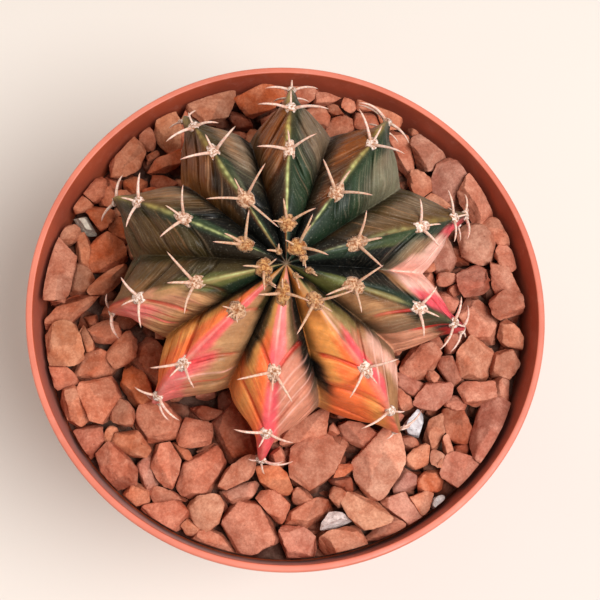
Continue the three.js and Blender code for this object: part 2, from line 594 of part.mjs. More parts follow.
function makeDressing(room) {
  const random = randomFrom(3);
  const stones = STONES.map((row) => stoneOf(row, random));
  const lumps = PUMICE.map((row) => ({
    ...stoneOf(row, random),
    seat: CLEARANCE,
    margin: STONE_GAP / 2 + CLEARANCE,
  }));
  stones.push(...lumps);
  fillWithGrit(stones, room);
  const near = (stone) => stones.filter((other) =>
    other !== stone && other.centre.distanceTo(stone.centre) < 13);
  const solids = stones.map((stone) => makeStone(stone, near(stone)));
  const firstLump = STONES.length;
  const pumice = solids.splice(firstLump, lumps.length);

  const bed = turned([
    [0, SOIL_TOP + CLEARANCE],
    [wallInside(SOIL_TOP) - CLEARANCE, SOIL_TOP + CLEARANCE],
    [wallInside(LEDGE) - CLEARANCE, LEDGE + CLEARANCE],
    [COLLAR_INSIDE - CLEARANCE, LEDGE + FOOT_CHAMFER + CLEARANCE],
    [COLLAR_INSIDE - CLEARANCE, BED_TOP],
    [0, BED_TOP],
  ]);
  const dressing = wasm.Manifold.union([bed, ...solids]).subtract(room);
  return { dressing, pumice };
}

// ---- assembly ----

const room = makeBody(ROOM_SHARES, ROOM);
const { dressing, pumice } = makeDressing(room);

const group = new THREE.Group();
group.add(named('pot', makePot(), 0xc4715f, 0.5));
group.add(named('soil', makeSoil(), 0x3a2a20, 0.95));
group.add(named('gravel', dressing, 0xc07a60, 0.85));
group.add(named('cactus', makeCactus(), 0x59633c, 0.55));
pumice.forEach((lump, index) => {
  group.add(named(`pumice_${index + 1}`, lump, 0xe6ddd2, 0.9));
});

export default group;
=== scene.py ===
"""Looks of a variegated chin cactus in its pot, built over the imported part.

The scene is in metres; shapes are made in millimetres.
"""

import math

import bmesh
import bpy
import numpy as np
from mathutils import Matrix, Vector, noise


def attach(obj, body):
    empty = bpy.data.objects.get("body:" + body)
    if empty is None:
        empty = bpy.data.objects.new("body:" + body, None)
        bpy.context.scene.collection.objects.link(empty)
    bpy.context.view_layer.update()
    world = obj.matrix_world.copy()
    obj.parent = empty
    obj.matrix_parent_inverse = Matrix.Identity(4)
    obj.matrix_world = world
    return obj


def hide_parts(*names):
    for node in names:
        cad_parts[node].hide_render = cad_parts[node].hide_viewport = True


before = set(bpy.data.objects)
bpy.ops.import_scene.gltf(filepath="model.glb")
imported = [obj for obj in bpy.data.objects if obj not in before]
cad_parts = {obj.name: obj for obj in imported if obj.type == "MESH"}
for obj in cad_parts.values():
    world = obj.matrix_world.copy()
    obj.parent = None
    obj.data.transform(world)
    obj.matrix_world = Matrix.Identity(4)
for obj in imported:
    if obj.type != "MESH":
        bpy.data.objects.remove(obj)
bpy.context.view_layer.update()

MM = 0.001

# ---------------------------------------------------------------- the plant's shape, as in the solids

BODY_RADIUS, BODY_RISE, BODY_DROP = 28.5, 19.5, 17.0
BODY_CENTRE = np.array([-0.63, 3.65, 70.0])
LEAN_X, LEAN_Y = -3.1, -9.9
LAST_ANGLE = 158.0
CHIN = 0.7
NECK = [(7.4, -19), (5.6, -25), (4.4, -31), (2.6, -34)]
BED_TOP, STONE_TOP, STONE_LIMIT = 57.8, 61.0, 64.3
COLLAR_INSIDE = 40.5

# azimuth, reach, furrow to the next rib (counterclockwise), areoles in degrees from the crown; azimuths,
# reaches and areoles come from fits to places read in the photograph
RIBS = [
    (-16.3, 0.997, 7.4, [21.3, 46.2, 68.5, 88.0]),
    (17.7, 1.012, 6.3, [21.8, 46.8, 66.5, 84.0]),
    (56.4, 1.026, 6.3, [5.7, 26.4, 51.7, 81.3]),
    (89.1, 1.037, 7.3, [11.5, 36.0, 56.9, 80.5]),
    (122.6, 1.001, 7.4, [23.5, 46.3, 65.0, 90.0]),
    (155.8, 1.028, 4.8, [13.1, 34.6, 57.3, 90.0]),
    (191.9, 1.004, 7.5, [6.6, 28.4, 52.0, 92.0]),
    (223.6, 0.993, 7.5, [20.4, 47.5, 74.0, 95.0]),
    (263.9, 1.025, 7.9, [8.4, 32.6, 57.8, 89.0]),
    (308.2, 0.997, 7.9, [13.9, 41.9, 64.5, 95.0]),
]
# each rib's outer part: millimetres that it stands out further, degrees that it bends counterclockwise,
# how much of the furrow's depth lies in the thin fin of its edge, and how much deeper the next furrow gets
TIPS = [(0.9, 0, 0.3, 0), (1.4, 1.5, 0.34, 0), (0.5, 1, 0.36, 0), (0.5, 0, 0.34, 0), (1.7, 1, 0.25, 0),
        (0.8, 1, 0.3, 0), (0.0, 0, 0.3, 0), (0.5, 1, 0.2, 2.4), (0.3, -1.2, 0.45, 0), (1.9, -2, 0.25, 0)]
AREOLE_STEP = 22.0
PLEAT_STEP, PLEAT_DRIFT = 1.15, 26.0  # millimetres between fine pleats, and how much noise moves them

# ---------------------------------------------------------------- helpers


def unit(v):
    v = np.asarray(v, float)
    return v / np.maximum(np.linalg.norm(v, axis=-1, keepdims=True), 1e-9)


def ease(value, low, high):
    t = np.clip((np.asarray(value, float) - low) / (high - low), 0, 1)
    return t * t * (3 - 2 * t)


def band(value, low, high, soft):
    return ease(value, low - soft, low + soft) * (1 - ease(value, high - soft, high + soft))


def blend(a, b, t):
    return a + (b - a) * t


def linear(rgb):
    c = np.asarray(rgb, float) / 255
    return np.where(c <= 0.04045, c / 12.92, ((c + 0.055) / 1.055) ** 2.4)


def ripple(points, size, seed=0.0):
    """Smooth noise from about -1 to 1 with features of `size` millimetres."""
    shift = Vector((seed, 1.7 * seed, -0.6 * seed))
    return np.array([noise.noise(Vector(p) / size + shift) for p in np.asarray(points, float).reshape(-1, 3)])


def make_object(name, points, faces, material, colours=None, values=None, smooth=True):
    """A mesh object from points in millimetres."""
    mesh = bpy.data.meshes.new(name)
    mesh.from_pydata((np.asarray(points, float) * MM).tolist(), [], [list(map(int, f)) for f in faces])
    if colours is not None:
        rgba = np.ones((len(points), 4), np.float32)
        rgba[:, :3] = colours
        mesh.color_attributes.new("paint", "FLOAT_COLOR", "POINT").data.foreach_set("color", rgba.ravel())
    for key, value in (values or {}).items():
        data = np.asarray(value, np.float32)
        if data.ndim == 1:
            mesh.attributes.new(key, "FLOAT", "POINT").data.foreach_set("value", data)
        else:
            mesh.attributes.new(key, "FLOAT_VECTOR", "POINT").data.foreach_set("vector", data.ravel())
    if smooth:
        mesh.shade_smooth()
    made = bpy.data.objects.new(name, mesh)
    bpy.context.scene.collection.objects.link(made)
    mesh.materials.append(material)
    return made


def ride(piece, slot, *nodes):
    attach(piece, "root")
    if nodes:
        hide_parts(*nodes)
    return piece


class Batch:
    """Many small shapes gathered into one mesh."""

    def __init__(self):
        self.points, self.faces, self.colours, self.count = [], [], [], 0

    def add(self, points, faces, colours):
        points = np.asarray(points, float)
        self.faces.extend((np.asarray(faces) + self.count).tolist())
        self.points.append(points)
        self.count += len(points)
        self.colours.append(np.broadcast_to(np.asarray(colours, float), (len(points), 3)))

    def build(self, name, material):
        points, colours = np.concatenate(self.points), np.concatenate(self.colours)
        return make_object(name, points, self.faces, material, colours)


def ico(detail):
    mesh = bmesh.new()
    bmesh.ops.create_icosphere(mesh, subdivisions=detail, radius=1)
    points = unit([v.co[:] for v in mesh.verts])
    faces = np.array([[v.index for v in f.verts] for f in mesh.faces])
    mesh.free()
    return points, faces


BALLS = {detail: ico(detail) for detail in (2, 3, 4, 5)}


def grid_faces(rows, columns):
    """Quads over rows of points, each row closed to a ring."""
    row, column = np.meshgrid(np.arange(rows - 1), np.arange(columns), indexing="ij")
    a = row * columns + column
    b = row * columns + (column + 1) % columns
    return np.stack([a, a + columns, b + columns, b], -1).reshape(-1, 4)


def tube(path, radii, sides=8):
    """A round tube along a path, open at both ends."""
    path, radii = np.asarray(path, float), np.asarray(radii, float)
    ahead = unit(np.gradient(path, axis=0))
    guide = np.array([0.3, 0.9, 0.31])
    across = unit(np.cross(ahead, guide))
    up = np.cross(across, ahead)
    turn = 2 * np.pi * np.arange(sides) / sides
    ring = across[:, None] * np.cos(turn)[:, None] + up[:, None] * np.sin(turn)[:, None]
    points = (path[:, None] + ring * radii[:, None, None]).reshape(-1, 3)
    return points, grid_faces(len(path), sides)


# ---------------------------------------------------------------- materials


def node(tree, kind, links=None, **settings):
    made = tree.nodes.new("ShaderNode" + kind)
    for key, value in settings.items():
        setattr(made, key, value)
    for socket, value in (links or {}).items():
        if isinstance(value, bpy.types.NodeSocket):
            tree.links.new(value, made.inputs[socket])
        else:
            made.inputs[socket].default_value = value
    return made


def material(name, **sockets):
    made = bpy.data.materials.new(name)
    made.use_nodes = True
    shader = made.node_tree.nodes["Principled BSDF"]
    for key, value in sockets.items():
        shader.inputs[key.replace("_", " ")].default_value = value
    return made, made.node_tree, shader


def place_noise(tree, scale, detail=3.0, rough=0.55, distortion=0.0):
    """Noise over the object, with features of about 1/scale metres."""
    where = node(tree, "TexCoord").outputs["Object"]
    made = node(
        tree, "TexNoise",
        {"Vector": where, "Scale": scale, "Detail": detail, "Roughness": rough, "Distortion": distortion}
    )
    return made.outputs["Fac"]


def ramp(tree, value, low, high, to_low=0.0, to_high=1.0):
    links = {"Value": value, "From Min": low, "From Max": high, "To Min": to_low, "To Max": to_high}
    return node(tree, "MapRange", links, interpolation_type="SMOOTHSTEP").outputs["Result"]


def calc(tree, operation, a, b=0.0):
    return node(tree, "Math", {0: a, 1: b}, operation=operation).outputs[0]


def tint(tree, kind, amount, base, other):
    """Mixes two colours; `amount`, `base` and `other` are sockets or values."""
    made = node(tree, "Mix", data_type="RGBA", blend_type=kind)
    for socket, value in ((0, amount), (6, base), (7, other)):
        if isinstance(value, bpy.types.NodeSocket):
            tree.links.new(value, made.inputs[socket])
        else:
            made.inputs[socket].default_value = value
    return made.outputs[2]


def rgba(rgb):
    return (*[float(c) for c in linear(rgb)], 1.0)


def paint_of(tree):
    return node(tree, "Attribute", attribute_name="paint").outputs["Color"]


def value_of(tree, name):
    return node(tree, "Attribute", attribute_name=name).outputs["Fac"]


def bump(tree, shader, height, strength, distance, before=None):
    links = {"Height": height, "Strength": strength, "Distance": distance}
    if before is not None:
        links["Normal"] = before
    made = node(tree, "Bump", links)
    tree.links.new(made.outputs["Normal"], shader.inputs["Normal"])
    return made.outputs["Normal"]


def pleat_noise(tree, folds, step, detail=2.0, rough=0.5):
    """Noise drawn out along the ribs' cross folds, `step` millimetres from fold to fold."""
    squeezed = node(
        tree, "VectorMath", {0: folds, 1: (1 / step, 1.0, 1.0)}, operation="MULTIPLY"
    ).outputs["Vector"]
    return node(
        tree, "TexNoise", {"Vector": squeezed, "Scale": 1.0, "Detail": detail, "Roughness": rough}
    ).outputs["Fac"]


def make_skin_material():
    """Waxy skin: variegation with painted shade and highlights, thin pale and dark streaks along the ribs'
    cross folds, fine dots.
    """
    made, tree, shader = material(
        "cactus_skin", Roughness=0.5, Subsurface_Weight=0.06, Subsurface_Scale=0.0007, Specular_IOR_Level=0.28
    )
    shader.inputs["Subsurface Radius"].default_value = (1.0, 0.45, 0.25)
    paint, lined = paint_of(tree), value_of(tree, "lined")
    folds = node(tree, "Attribute", attribute_name="folds").outputs["Vector"]
    along = node(tree, "SeparateXYZ", {"Vector": folds}).outputs["X"]
    streaks, drift = pleat_noise(tree, folds, 0.4, 3, 0.6), pleat_noise(tree, folds, 2.6)
    turns = calc(
        tree, "ADD", calc(tree, "MULTIPLY", along, 2 * math.pi / PLEAT_STEP),
        calc(tree, "MULTIPLY", drift, PLEAT_DRIFT)
    )
    wave = calc(tree, "SINE", turns)
    part = ramp(tree, place_noise(tree, 420, 3), 0.34, 0.62, 0.3, 1.0)
    amount = calc(tree, "MULTIPLY", lined, part)
    colour = paint
    for kind, pattern, low, high, strength, shade in (
        ("MIX", wave, 0.5, 1.0, 0.13, (226, 198, 170)),
        ("MIX", streaks, 0.56, 0.72, 0.08, (226, 198, 170)),
        ("MULTIPLY", wave, -0.2, -1.0, 0.3, (160, 130, 112)),
        ("MULTIPLY", streaks, 0.44, 0.3, 0.16, (150, 118, 98)),
    ):
        shown = calc(tree, "MULTIPLY", ramp(tree, pattern, low, high), amount)
        colour = tint(tree, kind, calc(tree, "MULTIPLY", shown, strength), colour, rgba(shade))
    mottle = ramp(tree, place_noise(tree, 900, 4, 0.6), 0.3, 0.75)
    colour = tint(
        tree, "MULTIPLY", 0.5, colour,
        tint(tree, "MIX", mottle, rgba((196, 192, 186)), rgba((255, 255, 255)))
    )
    dots = ramp(tree, place_noise(tree, 4200, 2, 0.5), 0.6, 0.74)
    colour = tint(tree, "MIX", calc(tree, "MULTIPLY", dots, 0.14), colour, rgba((206, 204, 178)))
    tree.links.new(colour, shader.inputs["Base Color"])
    gloss = ramp(tree, place_noise(tree, 600, 3), 0.3, 0.7, 0.44, 0.64)
    tree.links.new(gloss, shader.inputs["Roughness"])
    fine = bump(tree, shader, place_noise(tree, 5200, 2), 0.35, 0.00006)
    raised = calc(tree, "ADD", calc(tree, "MULTIPLY", wave, 0.25), streaks)
    bump(tree, shader, calc(tree, "MULTIPLY", raised, lined), 0.45, 0.0002, fine)
    return made


def make_spine_material():
    made, tree, shader = material("spine", Roughness=0.45, Subsurface_Weight=0.15, Subsurface_Scale=0.0008)
    grain = place_noise(tree, 2600, 3)
    colour = tint(tree, "MULTIPLY", ramp(tree, grain, 0.35, 0.7), paint_of(tree), rgba((226, 206, 196)))
    tree.links.new(colour, shader.inputs["Base Color"])
    bump(tree, shader, place_noise(tree, 3600, 3), 0.3, 0.00005)
    return made


def make_wool_material():
    made, tree, shader = material("areole_wool", Roughness=0.95, Sheen_Weight=0.25, Specular_IOR_Level=0.15)
    crumbs = ramp(tree, place_noise(tree, 2600, 3, 0.6), 0.34, 0.66)
    colour = tint(
        tree, "MULTIPLY", crumbs, tint(tree, "MULTIPLY", 1.0, paint_of(tree), rgba((168, 120, 84))),
        rgba((255, 255, 255))
    )
    colour = tint(tree, "MIX", crumbs, colour, paint_of(tree))
    tree.links.new(colour, shader.inputs["Base Color"])
    bump(tree, shader, place_noise(tree, 3400, 4, 0.7), 0.8, 0.00018)
    return made


def make_stone_material():
    """Broken brick: each stone its own tint with painted light and shade, clay mottling, dark pores, pale
    specks.
    """
    made, tree, shader = material("crushed_brick", Roughness=0.9, Specular_IOR_Level=0.2)
    paint = paint_of(tree)
    cloud = ramp(tree, place_noise(tree, 330, 4, 0.6, 0.4), 0.3, 0.72)
    colour = tint(
        tree, "MIX", cloud, tint(tree, "MULTIPLY", 1.0, paint, rgba((226, 206, 200))),
        tint(tree, "MIX", 0.14, paint, rgba((255, 214, 190)))
    )
    grain = ramp(tree, place_noise(tree, 2300, 5, 0.7), 0.32, 0.7)
    colour = tint(
        tree, "MULTIPLY", 0.6, colour,
        tint(tree, "MIX", grain, rgba((196, 176, 168)), rgba((255, 255, 255)))
    )
    pores = ramp(tree, place_noise(tree, 1500, 2, 0.5), 0.7, 0.78)
    colour = tint(tree, "MULTIPLY", calc(tree, "MULTIPLY", pores, 0.55), colour, rgba((120, 72, 58)))
    specks = ramp(tree, place_noise(tree, 3100, 1, 0.5), 0.73, 0.78)
    colour = tint(tree, "MIX", calc(tree, "MULTIPLY", specks, 0.2), colour, rgba((236, 206, 186)))
    tree.links.new(colour, shader.inputs["Base Color"])
    fine = bump(tree, shader, place_noise(tree, 2600, 5, 0.7), 0.55, 0.00016)
    bump(tree, shader, place_noise(tree, 700, 4, 0.6), 0.5, 0.0004, fine)
    return made


def make_pumice_material():
    made, tree, shader = material("pumice", Roughness=0.92, Specular_IOR_Level=0.2)
    cloud = ramp(tree, place_noise(tree, 900, 4, 0.65), 0.3, 0.7)
    colour = tint(
        tree, "MIX", cloud, tint(tree, "MULTIPLY", 1.0, paint_of(tree), rgba((206, 198, 198))),
        paint_of(tree)
    )
    pores = ramp(tree, place_noise(tree, 2600, 3, 0.6), 0.62, 0.72)
    colour = tint(tree, "MULTIPLY", pores, colour, rgba((150, 142, 144)))
    tree.links.new(colour, shader.inputs["Base Color"])
    bump(tree, shader, place_noise(tree, 2400, 4, 0.7), 0.8, 0.0003)
    return made


def make_pot_material():
    """Terracotta coloured moulded plastic with a dull bloom, fine grain, dust and a few rubs."""
    made, tree, shader = material(
        "pot_plastic", Roughness=0.46, Specular_IOR_Level=0.45, Sheen_Weight=0.12, Sheen_Roughness=0.4
    )
    bloom = ramp(tree, place_noise(tree, 70, 4, 0.6), 0.3, 0.72)
    colour = tint(
        tree, "MIX", bloom, tint(tree, "MULTIPLY", 1.0, paint_of(tree), rgba((238, 226, 222))),
        paint_of(tree)
    )
    dust = ramp(tree, place_noise(tree, 420, 5, 0.7), 0.52, 0.75)
    colour = tint(tree, "MIX", calc(tree, "MULTIPLY", dust, 0.16), colour, rgba((226, 168, 150)))
    specks = ramp(tree, place_noise(tree, 2400, 2), 0.7, 0.78)
    colour = tint(tree, "MULTIPLY", calc(tree, "MULTIPLY", specks, 0.35), colour, rgba((140, 92, 80)))
    tree.links.new(colour, shader.inputs["Base Color"])
    gloss = ramp(tree, place_noise(tree, 160, 4, 0.6), 0.3, 0.7, 0.38, 0.56)
    tree.links.new(gloss, shader.inputs["Roughness"])
    fine = bump(tree, shader, place_noise(tree, 3000, 2), 0.2, 0.00005)
    bump(tree, shader, place_noise(tree, 120, 3), 0.12, 0.0004, fine)
    return made


def make_soil_material():
    made, tree, shader = material("potting_soil", Roughness=0.97, Specular_IOR_Level=0.12)
    crumbs = ramp(tree, place_noise(tree, 700, 5, 0.7), 0.3, 0.7)
    colour = tint(tree, "MIX", crumbs, rgba((34, 24, 18)), rgba((84, 62, 46)))
    grit = ramp(tree, place_noise(tree, 1500, 2), 0.66, 0.72)
    colour = tint(tree, "MIX", grit, colour, rgba((168, 140, 116)))
    tree.links.new(colour, shader.inputs["Base Color"])
    bump(tree, shader, place_noise(tree, 900, 5, 0.7), 1.0, 0.0008)
    return made


def make_floor_material():
    made, tree, shader = material("floor", Roughness=0.7, Specular_IOR_Level=0.25)
    cloud = place_noise(tree, 6, 3)
    colour = tint(tree, "MIX", cloud, rgba((216, 208, 200)), rgba((224, 217, 210)))
    tree.links.new(colour, shader.inputs["Base Color"])
    return made


SKIN, SPINE, WOOL = make_skin_material(), make_spine_material(), make_wool_material()
STONE, PUMICE_STONE, POT = make_stone_material(), make_pumice_material(), make_pot_material()
SOIL = make_soil_material()

# ---------------------------------------------------------------- camera, light, floor


CAMERA_TILT, CAMERA_WAY = 14.87, 13.8  # degrees from straight down, and of the way that it looks
CAMERA_TARGET, CAMERA_DISTANCE = (1.85, 1.10, 65.0), 200.0
FOCAL_PIXELS, PICTURE_PIXELS, SENSOR = 1221.4, 600, 36.0
FLOOR_HALF, FLOOR_DROP = 3000.0, 0.0002  # millimetres, and metres under the pot


def make_camera():
    """Looks down at 15 degrees from the vertical, from the side that the crown leans towards."""
    tilt, way = math.radians(CAMERA_TILT), math.radians(CAMERA_WAY)
    target, distance = Vector(CAMERA_TARGET), CAMERA_DISTANCE
    ahead = Vector((math.sin(way), math.cos(way), 0))
    back = -ahead * math.sin(tilt) + Vector((0, 0, 1)) * math.cos(tilt)
    right = Vector((0, 1, 0)).cross(back).normalized()
    up = back.cross(right)
    spot = (target + back * distance) * MM
    camera = bpy.data.objects.new("camera", bpy.data.cameras.new("camera"))
    camera.matrix_world = Matrix((
        (right.x, up.x, back.x, spot.x), (right.y, up.y, back.y, spot.y), (right.z, up.z, back.z, spot.z),
        (0, 0, 0, 1)
    ))
    camera.data.sensor_width, camera.data.lens = SENSOR, SENSOR * FOCAL_PIXELS / PICTURE_PIXELS
    camera.data.clip_start, camera.data.clip_end = 0.01, 20
    bpy.context.scene.collection.objects.link(camera)
    bpy.context.scene.camera = camera


def make_lamp(name, spot, size, power, colour):
    lamp = bpy.data.lights.new(name, "AREA")
    lamp.shape, lamp.size, lamp.energy, lamp.color = "DISK", size, power, colour
    made = bpy.data.objects.new(name, lamp)
    made.location = spot
    made.rotation_euler = (Vector((0, 0, 0.06)) - Vector(spot)).to_track_quat("-Z", "Y").to_euler()
    bpy.context.scene.collection.objects.link(made)


def make_stage():
    make_camera()
    make_lamp("key", (0.3, -0.16, 0.72), 0.42, 6.5, (0.98, 0.98, 0.98))
    make_lamp("fill", (-0.5, 0.35, 0.6), 0.6, 1.6, (1.0, 0.86, 0.72))
    world = bpy.data.worlds.new("studio")
    world.use_nodes = True
    world.node_tree.nodes["Background"].inputs["Color"].default_value = (1.0, 0.97, 0.94, 1)
    world.node_tree.nodes["Background"].inputs["Strength"].default_value = 0.42
    bpy.context.scene.world = world
    bpy.context.scene.view_settings.view_transform = "Standard"
    size = FLOOR_HALF
    corners = [(-size, -size, 0), (size, -size, 0), (size, size, 0), (-size, size, 0)]
    floor = make_object("floor", corners, [(0, 1, 2, 3)], make_floor_material(), smooth=False)
    floor.location.z = -FLOOR_DROP


make_stage()

# ---------------------------------------------------------------- skin

AXIS = unit([math.tan(math.radians(LEAN_X)), math.tan(math.radians(LEAN_Y)), 1.0])
ACROSS = unit(np.array([1.0, 0, 0]) - AXIS * AXIS[0])
ALONG = np.cross(AXIS, ACROSS)
RIB_COUNT = len(RIBS)
AZIMUTHS = np.array([rib[0] for rib in RIBS] + [RIBS[0][0] + 360])
REACHES = np.array([rib[1] for rib in RIBS] + [RIBS[0][1]])
FURROWS = np.array([rib[2] for rib in RIBS])
STAND_OUT, BEND, FIN, DEEPER = np.array(TIPS).T


def plant_point(azimuth, radius, height):
    turn = np.radians(azimuth)
    x, y = radius * np.cos(turn), radius * np.sin(turn)
    return BODY_CENTRE + x[..., None] * ACROSS + y[..., None] * ALONG + np.asarray(height)[..., None] * AXIS


def chin_of(rib, angle):
    stops = np.array([0, *RIBS[rib % RIB_COUNT][3], LAST_ANGLE])
    after = np.clip(np.searchsorted(stops, angle, side="right"), 1, len(stops) - 1)
    share = np.clip((angle - stops[after - 1]) / (stops[after] - stops[after - 1]), 0, 1)
    return CHIN * np.sin(np.pi * np.sqrt(share)) * np.sin(np.radians(np.minimum(angle, 90)))


def skin(place, angle, swell=0.0, crest_width=0.07):
    """Points of the skin. place counts ribs counterclockwise; angle runs from 0 at the crown."""
    place, angle = np.broadcast_arrays(np.asarray(place, float), np.asarray(angle, float))
    whole = np.floor(place)
    index, share = whole.astype(int) % RIB_COUNT, place - whole
    after = (index + 1) % RIB_COUNT
    own = np.where(share < 0.5, index, after)
    sine, cosine = np.sin(np.radians(angle)), np.cos(np.radians(angle))
    rise = np.where(angle < 90, BODY_RISE, BODY_DROP)
    tip = ease(angle, 46, 84)
    from_crest = 1 - np.abs(2 * share - 1)
    blunt = np.hypot(from_crest, crest_width) - crest_width
    slot = 0.62 * blunt**1.2 + 0.6 * from_crest**6
    fin = FIN[own] * tip
    sharp = fin * (1 - np.exp(-((from_crest / 0.13) ** 2))) + (1 - fin) * blunt ** blend(0.85, 0.95, tip)
    flank = blend(slot, sharp, ease(angle, 38, 66))
    run_out = 1 - 0.75 * ease(angle, 105, LAST_ANGLE)
    depth = (FURROWS[index] + DEEPER[index] * tip) * np.maximum(sine, 0) ** 0.75 * run_out * flank
    chins = np.array([chin_of(rib, np.ravel(angle)) for rib in range(RIB_COUNT)])
    chin = chins[np.ravel(own), np.arange(angle.size)].reshape(angle.shape) * (1 - from_crest) ** 2
    radius = BODY_RADIUS * blend(REACHES[index], REACHES[index + 1], share) * sine
    radius = radius + STAND_OUT[own] * tip * (1 - from_crest)
    slope = unit(np.stack([sine / BODY_RADIUS, cosine / rise], -1))
    shift = swell + chin - depth
    azimuth = blend(AZIMUTHS[index] + BEND[index] * tip, AZIMUTHS[index + 1] + BEND[after] * tip, share)
    return plant_point(
        azimuth, np.maximum(0, radius + shift * slope[..., 0]), rise * cosine + shift * slope[..., 1]
    )


ARC_ANGLES = np.linspace(0, 180, 721)
_step = np.hypot(
    BODY_RADIUS * np.cos(np.radians(ARC_ANGLES)),
    np.where(ARC_ANGLES < 90, BODY_RISE, BODY_DROP) * np.sin(np.radians(ARC_ANGLES))
)
ARC_LENGTHS = np.concatenate([[0], np.cumsum((_step[1:] + _step[:-1]) / 2 * np.radians(0.25))])


def arc_of(angle):
    """Millimetres along the outline from the crown."""
    return np.interp(angle, ARC_ANGLES, ARC_LENGTHS)


# the skin's named colours, set with the help of the same measurements as the washes below
PALETTE = {name: linear(rgb) for name, rgb in {
    # painted shade: near black, for the deep furrows
    "night": (8, 9, 6),
    "bark": (32, 22, 8),
    "forest": (24, 40, 24),
    "pine": (44, 62, 38),
    "moss": (88, 90, 42),
    "khaki": (150, 130, 80),
    "olive": (58, 46, 18),
    "bronze": (88, 60, 26),
    "umber": (80, 42, 8),
    "copper": (130, 66, 14),
    "slate": (66, 60, 45),
    "taupe": (116, 94, 72),
    "sage": (122, 114, 90),
    "fawn": (158, 110, 72),
    "sand": (188, 138, 94),
    "blush": (212, 142, 112),
    "pearl": (242, 184, 168),
    "pink": (238, 116, 116),
    "rose": (234, 78, 92),
    "red": (206, 36, 32),
    "flame": (238, 102, 50),
    "gold": (198, 134, 68),
    "amber": (228, 148, 74),
    "salmon": (198, 124, 100),
    "scar": (112, 70, 44),
}.items()}
